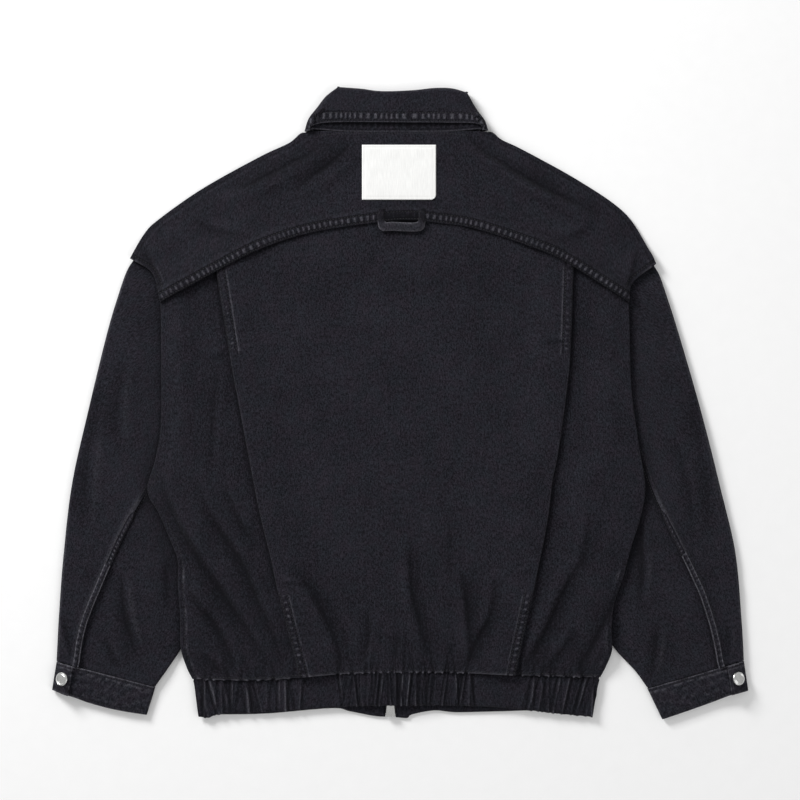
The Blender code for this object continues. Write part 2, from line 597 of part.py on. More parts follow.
def make_cuff(collection, side):
    """The cuff: one doubled strip wound round the wrist, its tab snapped over its own end."""
    shape = LEFT_SLEEVE if side == "left" else RIGHT_SLEEVE
    top = seam_shift(curve(shape["cuff"]), -SEAM - 0.5)
    foot = curve(shape["cuff_foot"])
    plan = patch(foot, top, curve([shape["cuff_foot"][0], tuple(top(0))]),
                 curve([shape["cuff_foot"][-1], tuple(top(1))]))
    ring = Ring(plan, lambda x, y: CUFF_HEIGHT)
    lean = math.radians(TAB_LEAN)
    bend_from_edge = TAB_BEND * (1 - math.cos(math.pi / 2 - lean))
    bend_height = TAB_BEND * (1 + math.cos(lean))
    crest = bend_from_edge + (TAB_HEIGHT - bend_height) / math.tan(lean)
    under = TAB_HEIGHT - DOUBLE - 0.8
    # Columns of the end under the tab: kind, mm from the outer edge or share across, height
    columns = [("edge", crest - 4.5, under - 3.1), ("edge", crest + 0.6, under - 0.1),
               ("edge", 21, under)]
    columns += [("upper", s, CUFF_HEIGHT + (under - CUFF_HEIGHT) * (1 - smooth(0.14, 0.42, s)))
                for s in (0.24, 0.3, 0.36, 0.42, 0.62, 0.82, 1.0)]
    columns += [("inner", t, 0) for t in (45, 90, 135)]
    columns += [("lower", s, 0) for s in (1.0, 0.66, 0.33, 0.06)]
    for turn in (0, 30, 60, 90, 120, 180 - TAB_LEAN):
        bend = math.radians(turn)
        columns.append(("edge", TAB_BEND * (1 - math.sin(bend)), TAB_BEND * (1 - math.cos(bend))))
    columns += [("edge", crest - 0.8, TAB_HEIGHT - 0.5), ("edge", crest + 1.2, TAB_HEIGHT),
                ("edge", 19.8, TAB_HEIGHT)]

    def place(column, v):
        kind, value, z = columns[column]
        if kind == "edge":
            width = float(np.hypot(*(plan(1, v) - plan(0, v))))
            x, y = plan(value / width, v)
            return x, y, z
        x, y, flat = ring.point(kind, value, v)
        return x, y, z if kind == "upper" else flat

    cloth(f"cuff_{side}", list(range(len(columns))), even(3), place, DOUBLE, DENIM, collection,
          flip=side == "right")
    across = plan(1, 0.5) - plan(0, 0.5)
    width = float(np.hypot(*across))
    x, y = plan(SNAP_FROM_EDGE / width, 0.5)
    z = bend_height + (SNAP_FROM_EDGE - bend_from_edge) * math.tan(lean)
    out = -across / width * math.sin(lean)
    make_snap(collection, side, Vector((x, y, z)), Vector((*out, math.cos(lean))))


def make_snap(collection, side, seat, up):
    """A blank cap with a raised rim, lying on the slope of the cuff's tab."""
    profile = [(0.0, 2.2), (4.6, 2.1), (5.2, 1.8), (6.0, 2.3), (7.1, 2.0), (7.6, 1.0), (7.2, 0.0), (0.0, 0.0)]
    mesh = bpy.data.meshes.new(f"snap_{side}")
    outline = bmesh.new()
    verts = [outline.verts.new(Vector((r, 0, z_of)) * MM) for r, z_of in profile]
    for a, b in zip(verts, verts[1:]):
        outline.edges.new((a, b))
    outline.to_mesh(mesh)
    outline.free()
    made = piece(f"snap_{side}", mesh, STEEL, collection)
    turned = made.modifiers.new("Turn", "SCREW")
    turned.steps = turned.render_steps = 24
    turned.use_merge_vertices = True
    turned.merge_threshold = 0.00002
    turned.use_normal_calculate = True
    made.location = (seat + up * 2 * SEAM) * MM
    made.rotation_euler = Vector((0, 0, 1)).rotation_difference(up).to_euler()
    mesh.shade_smooth()


# --------------------------------------------------------------- collar

def make_collar(collection):
    """The stand, and the fall that is turned down over it, each wrapped round the neck."""
    back_edge = [(-105.6, 302), (-93, 307), (-60, 308.6), (0, 308.3), (50, 308), (84, 307),
                 (97.2, 303)]
    fold = [(-67, 348.5), (-43, 346.2), (-20, 343.5), (13, 344.5), (38, 347), (57, 346.6), (73, 343)]
    left_side = [(-105.6, 302), (-100, 314.6), (-91, 325.6), (-81.4, 337.7), (-67, 348.5)]
    right_side = [(97.2, 303), (93.2, 311.3), (85.7, 321.5), (79.3, 332), (73, 343)]
    point_x, point_y, front_x, front_y = 70, 205, 6.5, 262
    wrap("collar_fall", collection, back_edge, fold, left_side, right_side,
         front_edge_left=[(-105.6, 302), (-100, 255), (ZIP_X - point_x, point_y)],
         front_fold_left=[(-67, 348.5), (-44, 296), (ZIP_X - front_x, front_y)],
         front_edge_right=[(97.2, 303), (84, 255), (ZIP_X + point_x, point_y)],
         front_fold_right=[(73, 343), (30, 296), (ZIP_X + front_x, front_y)],
         low=0.0, high=COLLAR_HEIGHT)
    stand_edge = [(-96, 306), (-60, 300.6), (-5, 300), (50, 300.6), (86, 306)]
    stand_fold = [(-64, 344), (-43, 342), (-20, 339.3), (13, 340.3), (38, 342.8), (66, 341)]
    stand_left = [(-96, 306), (-94, 313), (-86, 325), (-76, 336), (-64, 344)]
    stand_right = [(86, 306), (86, 312), (79, 322), (73, 331), (66, 341)]
    wrap("collar_stand", collection, stand_edge, stand_fold, stand_left, stand_right,
         front_edge_left=[(-96, 306), (-67, 273), (-40, 249), (ZIP_X - ZIP_SLOT, 238)],
         front_fold_left=[(-64, 344), (-42, 292), (ZIP_X - ZIP_SLOT, 258)],
         front_edge_right=[(86, 306), (54, 275), (27, 250), (ZIP_X + ZIP_SLOT, 238)],
         front_fold_right=[(66, 341), (28, 292), (ZIP_X + ZIP_SLOT, 258)],
         low=DOUBLE + LAP, high=COLLAR_HEIGHT - DOUBLE - LAP)


def wrap(name, collection, back_edge, back_fold, left_side, right_side, front_edge_left,
         front_fold_left, front_edge_right, front_fold_right, low, high):
    """A doubled strip, flat on the front, folded up at each side and flat across the back."""
    radius = (high - low) / 2

    def inset(side, out):
        """The side's plan, moved in by the fold's radius, and the way out of the fold."""
        path = curve(side)
        span = np.array(side[-1], float) - np.array(side[0], float)
        square = np.array([-span[1], span[0]]) / np.hypot(*span) * out

        def way(v):
            blend = (1 - v) * np.array([-out, 0.0]) + v * square
            return blend / np.hypot(*blend)
        return (lambda v: path(v) - radius * way(v)), way

    left_edge, left_normal = inset(left_side, 1)
    right_edge, right_normal = inset(right_side, -1)

    def pinned(points, start=None, end=None):
        path = [tuple(p) for p in points]
        if start is not None:
            path[0] = tuple(start)
        if end is not None:
            path[-1] = tuple(end)
        return curve(path)

    back = patch(pinned(back_edge, left_edge(0), right_edge(0)),
                 pinned(back_fold, left_edge(1), right_edge(1)), left_edge, right_edge)
    fronts = {}
    for key, edge, fold, side in (("left", front_edge_left, front_fold_left, left_edge),
                                  ("right", front_edge_right, front_fold_right, right_edge)):
        tip = curve([edge[-1], fold[-1]])
        fronts[key] = patch(pinned(edge, side(0)), pinned(fold, side(1)), side, tip)
    turns = (30, 60, 90, 120, 150)
    columns = [("front left", s) for s in (1, 0.75, 0.5, 0.25, 0)] + [("turn left", t) for t in turns]
    columns += [("back", s) for s in even(12)]
    columns += [("turn right", 180 - t) for t in turns]
    columns += [("front right", s) for s in (0, 0.25, 0.5, 0.75, 1)]

    def place(column, v):
        kind, value = columns[column]
        if kind == "back":
            return (*back(value, v), high)
        if kind.startswith("front"):
            return (*fronts[kind.split()[1]](value, v), low)
        edge, normal = (left_edge, left_normal) if "left" in kind else (right_edge, right_normal)
        turn = math.radians(value)
        x, y = edge(v) + radius * math.sin(turn) * normal(v)
        return x, y, low + radius - radius * math.cos(turn)

    cloth(name, list(range(len(columns))), even(3), place, DOUBLE, DENIM, collection)


# ---------------------------------------------------- label, loop and zip

def make_label(collection):
    plan = patch(curve([(-41.8, 223.3), (39.6, 223.3)]), curve([(-41.8, 283.8), (39.6, 283.8)]),
                 curve([(-41.8, 223.3), (-41.8, 283.8)]), curve([(39.6, 223.3), (39.6, 283.8)]))

    def height(x, y, _):
        return back_top(x, y) + SEAM + LABEL_THICK

    cloth("back_label", even(6), even(4), raised(plan, height), LABEL_THICK, LABEL, collection)


def make_loop(collection):
    """The hanger loop: a flat strap, sewn in the yoke seam at both ends."""
    outline = bpy.data.curves.new("hanger_loop", "CURVE")
    outline.dimensions = "2D"
    outline.fill_mode = "BOTH"
    outline.extrude = LOOP_THICK / 2 * MM
    left, right, foot, top, leg, bar = -24.2, 27.5, 189.0, 213.5, 7.0, 9.6
    corner = 4.0
    points = [(left, top), (left, foot + corner), (left + corner, foot), (right - corner, foot),
              (right, foot + corner), (right, top), (right - leg, top), (right - leg, foot + bar),
              (left + leg, foot + bar), (left + leg, top)]
    spline = outline.splines.new("POLY")
    spline.points.add(len(points) - 1)
    for point, (x, y) in zip(spline.points, points):
        point.co = (x * MM, y * MM, 0, 1)
    spline.use_cyclic_u = True
    made = bpy.data.objects.new("hanger_loop", outline)
    outline.materials.append(material("hanger_loop", DENIM))
    seat = back_top(0, top) + YOKE_LIFT
    made.location = (0, 0, (seat + SEAM + LOOP_THICK / 2) * MM)
    collection.objects.link(made)


def box(name, low, high, taper=1.0):
    """A box between two corners in millimetres, its +Y end narrowed by taper."""
    mesh = bpy.data.meshes.new(name)
    solid = bmesh.new()
    bmesh.ops.create_cube(solid, size=1)
    middle = (Vector(low) + Vector(high)) / 2
    size = Vector(high) - Vector(low)
    for vert in solid.verts:
        narrow = taper if vert.co.y > 0 else 1
        vert.co = Vector((vert.co.x * size.x * narrow, vert.co.y * size.y, vert.co.z * size.z)) + middle
        vert.co *= MM
    solid.to_mesh(mesh)
    solid.free()
    return mesh


def with_boxes(made, tools, operation, boxes):
    for index, mesh in enumerate(boxes):
        cutter = bpy.data.objects.new(f"{made.name}_tool_{index}", mesh)
        cutter.parent = made
        cutter.hide_render = True
        cutter.display_type = "WIRE"
        tools.objects.link(cutter)
        step = made.modifiers.new(f"Box {index}", "BOOLEAN")
        step.operation = operation
        step.object = cutter


def make_slider(collection, tools, name, y, way):
    """Two plates, the post between them, and the bridge that holds the pull tab.

    The slider's own origin is on the pull tab's axis. way is 1 where the narrow
    end points to the collar, and -1 where it points to the hem.
    """
    axis = zip_height(y) - 2.9
    made = piece(name, box(name, (-5.2, -6, 0.9), (5.2, 6, 1.9), 0.78), STEEL, collection)
    boxes = [box("plate", (-5.2, -6, 3.9), (5.2, 6, 4.9), 0.78),
             box("post", (-1.6, -5.8, 1.5), (1.6, -3.4, 4.4)),
             box("leg", (-0.8, -2.5, -1.4), (0.8, -1.5, 1.4)),
             box("leg", (-0.8, 1.5, -1.4), (0.8, 2.5, 1.4)),
             box("bridge", (-0.8, -2.3, -1.45), (0.8, 2.3, -0.75))]
    with_boxes(made, tools, "UNION", boxes)
    made.location = Vector((ZIP_X, y, axis)) * MM
    made.rotation_euler = (0, 0, 0 if way > 0 else math.pi)

    tab = piece(f"{name}_pull", box(f"{name}_pull", (-2.6, -0.5, -0.5), (2.6, 21, 0.5), 0.85), STEEL,
                collection)
    with_boxes(tab, tools, "DIFFERENCE", [box("eye", (-1.25, 0.5, -1), (1.25, 5.0, 1))])
    tab.location = made.location
    tab.rotation_euler = made.rotation_euler


def make_zip(collection, tools):
    rows = [LOWER_SLIDER_Y - 2.6, -330, -318, -306, -299, -292, -286, -280, -200, -100, 0, 90, 106,
            115, 124, 133, 142, 153, 229]

    def strip(name, left, right, wall, top, stop):
        def place(x, y):
            return x, y, zip_height(y) + top
        lengths = [y for y in rows if y < stop] + [stop]
        cloth(name, [left, right], lengths, place, wall, TAPE, collection)

    half = CHAIN_WIDTH / 2
    strip("zip_chain", ZIP_X - half, ZIP_X + half, CHAIN_THICK, CHAIN_THICK / 2, UPPER_SLIDER_Y + 1)
    for name, near, far in (("zip_tape_left", -half - SEAM, -half - SEAM - TAPE_WIDTH),
                            ("zip_tape_right", half + SEAM, half + SEAM + TAPE_WIDTH)):
        left, right = sorted((ZIP_X + near, ZIP_X + far))
        strip(name, left, right, TAPE_THICK, TAPE_THICK / 2 - 0.1, 229)
    make_slider(collection, tools, "zip_slider_lower", LOWER_SLIDER_Y, 1)
    make_slider(collection, tools, "zip_slider_upper", UPPER_SLIDER_Y, -1)


def main():
    for old in list(bpy.data.objects):
        bpy.data.objects.remove(old, do_unlink=True)
    collection = bpy.data.collections.new("denim_jacket")
    tools = bpy.data.collections.new("tools")
    bpy.context.scene.collection.children.link(collection)
    bpy.context.scene.collection.children.link(tools)
    make_back(collection)
    make_yoke(collection)
    make_hem_bands(collection)
    for side in ("left", "right"):
        make_front(collection, side)
        make_sleeve(collection, side)
        make_cuff(collection, side)
    make_collar(collection)
    make_label(collection)
    make_loop(collection)
    make_zip(collection, tools)


main()
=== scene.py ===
"""Looks of the washed-black denim jacket: its cloth, stitching, zip and finishes.

Lengths are in millimetres, and plan points are (x, y) seen from above. Left is the
wearer's left, which is also the left of the picture. Each cloth carries a value at every
point for its paleness and painted light: above 0 it is washed pale, and on fold ridges,
gathers and the loop's crossbar paler still with a painted highlight; below 0 it is darkened
with painted shade.
"""

import math

import bpy
import numpy as np
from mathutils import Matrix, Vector
from mathutils.bvhtree import BVHTree

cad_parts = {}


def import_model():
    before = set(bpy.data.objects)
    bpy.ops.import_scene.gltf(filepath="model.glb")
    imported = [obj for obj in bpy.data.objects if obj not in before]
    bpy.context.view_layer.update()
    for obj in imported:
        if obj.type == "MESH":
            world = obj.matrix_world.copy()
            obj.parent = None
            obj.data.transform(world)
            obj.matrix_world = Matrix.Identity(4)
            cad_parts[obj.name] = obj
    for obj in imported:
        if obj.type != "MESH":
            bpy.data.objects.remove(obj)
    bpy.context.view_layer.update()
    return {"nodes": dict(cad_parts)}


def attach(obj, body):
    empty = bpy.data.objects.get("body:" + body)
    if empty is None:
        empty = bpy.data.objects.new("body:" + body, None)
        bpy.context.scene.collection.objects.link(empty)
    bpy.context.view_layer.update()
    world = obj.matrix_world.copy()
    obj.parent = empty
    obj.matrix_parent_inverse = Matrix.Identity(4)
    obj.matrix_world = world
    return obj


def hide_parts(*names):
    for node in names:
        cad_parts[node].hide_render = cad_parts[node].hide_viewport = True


MM = 0.001

# Camera: the picture is this wide at the jacket's upper face
PICTURE_WIDTH = 880.0
PICTURE_MIDDLE = (0.0, 3.3)
PICTURE_LEVEL = 8.0
LENS, SENSOR = 100.0, 36.0

# Cloth, as in the solids
WALL, DOUBLE, SEAM, LAP = 1.5, 2.6, 0.35, 0.45
FELL, SLEEVE_FELL = 10.5, 7.0
HOLLOW, EDGE_HOLLOW = 3.4, 0.8
SLEEVE_HEIGHT, TUCKED_HEIGHT, SIDE_LIFT = 6.2, 4.2, 5.2
COLLAR_HEIGHT = 12.8
TUCK_DEPTH, TUCK_PITCH = 10.0, 2.15
CUFF_HEIGHT, TAB_HEIGHT, TAB_LEAN, TAB_BEND = 5.9, 12.5, 30.0, 2.8
ZIP_X, ZIP_SLOT = -10.5, 5.8
ZIP_EDGE = {"left": ZIP_X - ZIP_SLOT, "right": ZIP_X + ZIP_SLOT}
CHAIN_WIDTH, TAPE_WIDTH = 4.6, 12.4
LOWER_SLIDER_Y, UPPER_SLIDER_Y = -339.2, 219.0

# Lengths and depths that the pale rubbed marks and the painted shade are laid out by
SLEEVE_LENGTH, BAND_DEPTH, FRONT_BAND_DEPTH, CUFF_DEPTH, COLLAR_DEPTH = 470, 40, 36, 33, 39

# Rows of stitches, at these distances from their seam or edge
YOKE_ROWS, TUCK_ROWS, SLEEVE_ROWS, COLLAR_ROWS = (-3.9, 3.9), (1.8, 8.6), (-2.4, 2.4), (2.2, 10.8)
STITCH, STITCH_GAP, THREAD = 2.3, 0.9, 0.42

# Plan curves of the body
SIDE = {
    "left": [(-228, -304), (-234, -291), (-240.5, -268), (-241, -236), (-243.5, -200),
             (-244, -172), (-251, -153), (-264, -122), (-277, -96), (-268, -60), (-262, -19),
             (-262, 71), (-263, 117)],
    "right": [(220, -302), (226, -290), (232.5, -271), (231.5, -247), (235, -220), (245.5, -189),
              (254.5, -155), (264, -125), (269, -91), (262, -45), (254, 15), (252, 74),
              (251, 117)],
}
YOKE_END = {
    "left": [(-263, 117), (-271.7, 143), (-296, 159.5)],
    "right": [(251, 117), (255.5, 133), (281, 153.5)],
}
SHOULDER = {
    "left": [(-296, 159.5), (-281, 186.5), (-264, 203), (-216, 236.5), (-154, 270.5), (-123, 285),
             (-103, 297.5)],
    "right": [(94, 298), (114, 288), (137, 277), (199, 243), (248, 208), (274.5, 167),
              (281, 153.5)],
}
TUCK = {
    "left": [(-203, 150), (-188, 58), (-178, 3), (-165, -66), (-154, -122), (-141, -175),
             (-135, -204), (-110, -302)],
    "right": [(191, 154), (188, 68), (184, 18), (173, -60), (168, -83), (162, -131), (150, -191),
              (127, -299)],
}
YOKE_SEAM = [(-263, 117), (-202, 150.5), (-158, 173), (-117, 188), (-71, 198), (0, 206.5),
             (44, 203.5), (84, 197), (145, 177), (184, 159.5), (251, 117)]
NECK_SEAM_BACK = [(-60, 298), (-5, 298.2), (50, 298)]
HEM_SEAM = [(-228, -304), (-150, -305), (-60, -298), (40, -296.5), (130, -299.5), (220, -302)]
BAND_FOOT = [(-222, -346), (-210, -346.5), (-194, -342.5), (-119, -339), (-60, -334.5), (5, -333),
             (80, -334), (134, -338), (170, -342), (212, -346)]
FRONT_SEAM_Y = -309.0
FRONT_NECK = [(-72, 262), (-44, 238)]
FRONT_TOP_Y = 232.0
FRONT_BAND_FOOT = {
    "left": [(-220, -343.5), (-150, -342.5), (-76, -336.5), (-55, -340), (-29, -345),
             (ZIP_EDGE["left"], -346)],
    "right": [(210, -343), (160, -339), (110, -340), (62, -341), (38, -339), (13, -343.5),
              (8, -347.3), (ZIP_EDGE["right"], -346.5)],
}
SLEEVES = {
    "left": {
        "outer": [(-378.5, -284), (-376, -236), (-371, -169), (-361.5, -89), (-343.5, -8),
                  (-323, 76.5), (-309.5, 122), (-301, 146), (-293.5, 158)],
        "inner": [(-269.5, -312), (-254, -290), (-240, -268), (-230, -240), (-227, -205),
                  (-230, -165), (-222, -92)],
        "mouth": [(-293.5, 158), (-266, 139), (-252, 108), (-246, 60), (-246, 0), (-245, -45),
                  (-239, -76), (-222, -92)],
        "seam": [(-357.5, -287), (-349, -242), (-321, -175), (-301, -133), (-276, -91),
                 (-258, -62), (-240, -48)],
        "cuff": [(-378.5, -284), (-269.5, -312)],
        "cuff_foot": [(-383.5, -316), (-360, -323.5), (-340, -331), (-310, -338.5),
                      (-279, -343.5)],
        "placket": 0.30,
    },
    "right": {
        "outer": [(379, -283), (376.5, -239), (369.5, -164), (352, -89), (331.5, -8),
                  (307.5, 75.5), (293, 121), (286, 141), (279.5, 152)],
        "inner": [(272.5, -313.5), (259, -295), (236.5, -270.5), (222, -245), (216, -215),
                  (219, -165), (210, -92)],
        "mouth": [(279.5, 152), (250, 130), (241, 106), (237, 60), (237, 0), (235, -45),
                  (228, -76), (210, -92)],
        "seam": [(353, -284), (346, -250), (333, -209), (308, -156), (282, -102), (264, -55),
                 (250, -30), (235, -20)],
        "cuff": [(379, -283), (272.5, -313.5)],
        "cuff_foot": [(384, -317), (365, -321), (345, -329), (320, -338), (289, -348.5)],
        "placket": 0.34,
    },
}

# Gathers of the back hem band: from x, to x, and how many
GATHERS = [(-220.0, -105.0, 10), (-68.0, 80.0, 20), (130.0, 211.0, 9)]


# ---- plans

def smooth(low, high, value):
    """0 below low, 1 above high, with an even slope at both ends."""
    share = np.clip((np.asarray(value, float) - low) / (high - low), 0, 1)
    return share * share * (3 - 2 * share)


def bell(value, wide, power=2):
    """1 where the value is 0, and none a little beyond the width."""
    return np.exp(-(value / wide)**power)


def fade(value, wide):
    """1 where the value is 0, falling off at once to both sides."""
    return np.exp(-np.abs(value) / wide)


def hump(value, half):
    """1 where the value is 0, and 0 from the half width on."""
    return np.cos(np.pi / 2 * np.clip(value / half, -1, 1))**2


def grid(columns, rows):
    return np.meshgrid(np.linspace(0, 1, columns), np.linspace(0, 1, rows))


def lift(xy, z):
    """Points in space, from plan points and their heights."""
    return np.concatenate([xy, np.broadcast_to(z, xy.shape[:-1])[..., None]], -1)


def curve(points, steps=96):
    """A smooth curve through the points, as a function of the share of its length."""
    ends = [np.array(p, float) for p in points]
    ends = [2 * ends[0] - ends[1], *ends, 2 * ends[-1] - ends[-2]]
    t = np.linspace(0, 1, steps // (len(points) - 1) + 2)[:-1, None]
    path = [0.5 * (2 * b + (c - a) * t + (2 * a - 5 * b + 4 * c - d) * t**2
                   + (3 * b - a - 3 * c + d) * t**3)
            for a, b, c, d in zip(ends, ends[1:], ends[2:], ends[3:])]
    path = np.vstack(path + [ends[-2]])
    length = np.concatenate([[0], np.cumsum(np.hypot(*np.diff(path, axis=0).T))])
    length /= length[-1]
    return lambda share: np.stack([np.interp(share, length, path[:, k]) for k in (0, 1)], -1)


def patch(bottom, top, left, right):
    """The plan of a panel, from its four edges."""
    def place(u, v):
        u, v = np.broadcast_arrays(np.asarray(u, float), np.asarray(v, float))
        a, b = u[..., None], v[..., None]
        corners = ((1 - a) * (1 - b) * bottom(0.0) + a * (1 - b) * bottom(1.0)
                   + (1 - a) * b * top(0.0) + a * b * top(1.0))
        return (1 - b) * bottom(u) + b * top(u) + (1 - a) * left(v) + a * right(v) - corners
    return place


class Line:
    """A plan line that can say how far a point is from it, and how far along."""

    def __init__(self, points, steps=48):
        self.path = curve(points)
        self.points = self.path(np.linspace(0, 1, steps + 1))
        self.spans = np.diff(self.points, axis=0)
        self.squares = (self.spans**2).sum(1)
        self.length = float(np.sqrt(self.squares).sum())
        order = self.points[:, 1].argsort()
        self.across, self.heights = self.points[order].T

    def near(self, xy):
        """Distance, positive to the left of the line's run, and the share along it."""
        flat = np.asarray(xy, float).reshape(-1, 2)
        away, along = np.empty(len(flat)), np.empty(len(flat))
        for start in range(0, len(flat), 20000):
            piece = slice(start, start + 20000)
            offset = flat[piece, None] - self.points[:-1]
            t = np.clip((offset * self.spans).sum(-1) / self.squares, 0, 1)
            square = ((offset - t[..., None] * self.spans)**2).sum(-1)
            best = square.argmin(1)
            pick = (np.arange(len(best)), best)
            turn = (self.spans[best, 0] * offset[pick][:, 1]
                    - self.spans[best, 1] * offset[pick][:, 0])
            away[piece] = np.sqrt(square[pick]) * np.where(turn < 0, -1, 1)
            along[piece] = (best + t[pick]) / len(self.spans)
        return away.reshape(xy.shape[:-1]), along.reshape(xy.shape[:-1])

    def off(self, xy):
        """Distance to either side."""
        return np.abs(self.near(xy)[0])

    def beside(self, distance, start=0.0, end=1.0):
        """Plan points at a distance to the left of the line, about a millimetre apart."""
        share = np.linspace(start, end, max(3, int(self.length * (end - start))))
        tangent = self.path(np.minimum(share + 0.004, 1)) - self.path(np.maximum(share - 0.004, 0))
        tangent /= np.linalg.norm(tangent, axis=1)[:, None]
        return self.path(share) + distance * np.stack([-tangent[:, 1], tangent[:, 0]], -1)


BODY_EDGES = [Line(edge, 24) for pair in (SIDE, YOKE_END, SHOULDER) for edge in pair.values()]
SLEEVE_EDGES = {side: Line(SIDE[side][2:] + YOKE_END[side][1:]) for side in SIDE}
SLEEVE_ENDS = {side: Line(shape["inner"] + shape["mouth"][-2::-1])
               for side, shape in SLEEVES.items()}
TUCKS = {side: Line(TUCK[side]) for side in TUCK}
YOKE_LINE = Line(YOKE_SEAM, 96)
HEM_LINE = Line(HEM_SEAM)


def from_outline(xy):
    return np.min([edge.off(xy) for edge in BODY_EDGES], axis=0)


def beyond(line, xy, side):
    """How far a point lies beyond a line towards the middle of the body, 0 on its outer side."""
    limit = np.interp(xy[..., 1], line.heights, line.across)
    inside = xy[..., 0] > limit if side == "left" else xy[..., 0] < limit
    return np.where(inside, line.off(xy), 0.0)


def front_floor(xy):
    """Height of the outer face of the fronts: 0, or what lies under them."""
    x, y = xy[..., 0], xy[..., 1]
    inward = np.where(x < 0, *(beyond(SLEEVE_ENDS[side], xy, side) for side in SLEEVES))
    on_collar = smooth(110, 160, y) * (1 - smooth(140, 200, np.abs(x + 5)))
    return np.maximum(SIDE_LIFT * (1 - smooth(3, 32, inward)), (DOUBLE + LAP) * on_collar)


def zip_height(y):
    """Height of the middle of the zip's chain."""
    return 2.3 + 2.0 * (1 - smooth(-305, -280, y)) + 3.2 * smooth(98, 148, y)


def off_zip(x):
    return smooth(18, 60, np.abs(x - ZIP_X))


def back_top(xy):
    """Height of the outer face of the back, without its folds."""
    x, y = xy[..., 0], xy[..., 1]
    hollow = EDGE_HOLLOW + (HOLLOW - EDGE_HOLLOW) * smooth(0, 26, from_outline(xy))
    over_zip = (1 - off_zip(x)) * (1 - smooth(-300, -230, y))
    over_band = (DOUBLE - WALL + 0.2) * (1 - smooth(-302, -262, y))
    return front_floor(xy) + 2 * WALL + hollow + over_band + 0.6 * over_zip


# ---- folds

class Fold:
    """A crease: a sharp hollow along a plan line, and the soft ridge beside it.

    side is 1 where the ridge is to the left of the line's run, and -1 to its right.
    """

    def __init__(self, run, height, half, hollow=0.8, side=1, sharp=2.6):
        self.line = Line(run, 20)
        self.height, self.half, self.hollow = height, half, hollow
        self.side, self.sharp = side, sharp

    def parts(self, xy):
        """Its ridge and its hollow, each 0 to 1, the distance from it and its swell."""
        away, along = self.line.near(xy)
        swell = np.maximum(np.sin(np.pi * along), 0)**0.7
        ridge = hump(away - self.side * 0.55 * self.half, self.half)
        return swell * ridge, swell * bell(away, self.sharp), away, swell

    def at(self, xy):
        ridge, hollow, _, _ = self.parts(xy)
        return self.height * ridge - self.hollow * hollow

    def tone(self, xy):
        """Painted highlight on the ridge, positive, and painted shade in and beside the hollow,
        negative.
        """
        ridge, hollow, away, swell = self.parts(xy)
        reach = np.where(away * self.side < 0, 0.85, 0.34) * self.half
        shade = 0.66 * swell * bell(away, reach) + 0.34 * hollow
        return min(1.0, self.height / 2.4) * (0.115 * ridge**2 - shade)


BACK_FOLDS = [
    Fold([(-212, 46), (-195, 53), (-172, 50)], 0.9, 7, 1.0, 1, 1.8),
    Fold([(150, 64), (168, 67), (190, 66)], 0.9, 7, 1.2, 1, 1.8),
    Fold([(-138, -206), (-126, -199), (-102, -202)], 1.0, 7, 1.1, 1, 1.8),
    Fold([(128, -190), (142, -186), (158, -192)], 0.7, 6, 0.7, 1, 1.8),
    Fold([(-267, -72), (-245, -131), (-218, -175), (-190, -217), (-160, -264), (-140, -295)],
         3.6, 13, 1.3),
    Fold([(-229, -72), (-212, -117), (-190, -153), (-173, -178), (-156, -220), (-136, -264),
          (-129, -295)], 3.0, 12, 1.2),
    Fold([(-196, -89), (-176, -131), (-156, -164)], 1.8, 10, 0.7),
    Fold([(-201, 37), (-206, -25), (-207, -89)], 1.4, 12, 0.8),
    Fold([(-238, -202), (-201, -248), (-178, -300)], 2.4, 11, 1.0),
    Fold([(-222, -272), (-200, -292), (-185, -304)], 1.4, 8, 0.8),
    Fold([(-131, -178), (-103, -200), (-84, -233), (-70, -264), (-65, -297)], 2.6, 13, 1.2, -1),
    Fold([(-36, -226), (-34, -250), (-38, -272), (-47, -295)], 2.0, 11, 1.0),
    Fold([(0, -250), (-4, -270), (-9, -290)], 1.4, 8, 0.8),
    Fold([(11, -150), (14, -208), (22, -242), (33, -285)], 2.6, 12, 1.3, -1),
    Fold([(56, -130), (57, -165), (56, -200)], 1.1, 10, 0.6),
    Fold([(69, -185), (75, -233), (78, -270), (75, -292)], 2.4, 11, 1.2, -1),
    Fold([(106, -191), (100, -233), (84, -264), (77, -288)], 2.0, 11, 1.0, -1),
    Fold([(205, -165), (178, -211), (162, -248), (145, -278), (132, -297)], 3.2, 13, 1.4, -1),
    Fold([(209, -122), (205, -150), (198, -185)], 1.4, 11, 0.6, -1),
    Fold([(195, -248), (180, -270), (160, -296)], 1.6, 10, 0.8, -1),
    Fold([(240, -200), (231, -228), (218, -256), (201, -287), (192, -300)], 2.8, 12, 1.8),
]
YOKE_FOLDS = [
    Fold([(-76, 289), (-103, 272), (-136, 255), (-165, 241), (-196, 235)], 2.6, 16, 1.0),
    Fold([(-50, 290), (-73, 266), (-95, 250), (-118, 232)], 2.4, 16, 0.9),
    Fold([(70, 300), (87, 280), (109, 266), (134, 250), (167, 232), (195, 219), (224, 206)],
         3.2, 12, 1.4, -1),
    Fold([(-230, 205), (-205, 190), (-170, 184)], 1.2, 10, 0.4),
    Fold([(215, 200), (196, 185), (172, 181)], 1.1, 10, 0.4, -1),
]
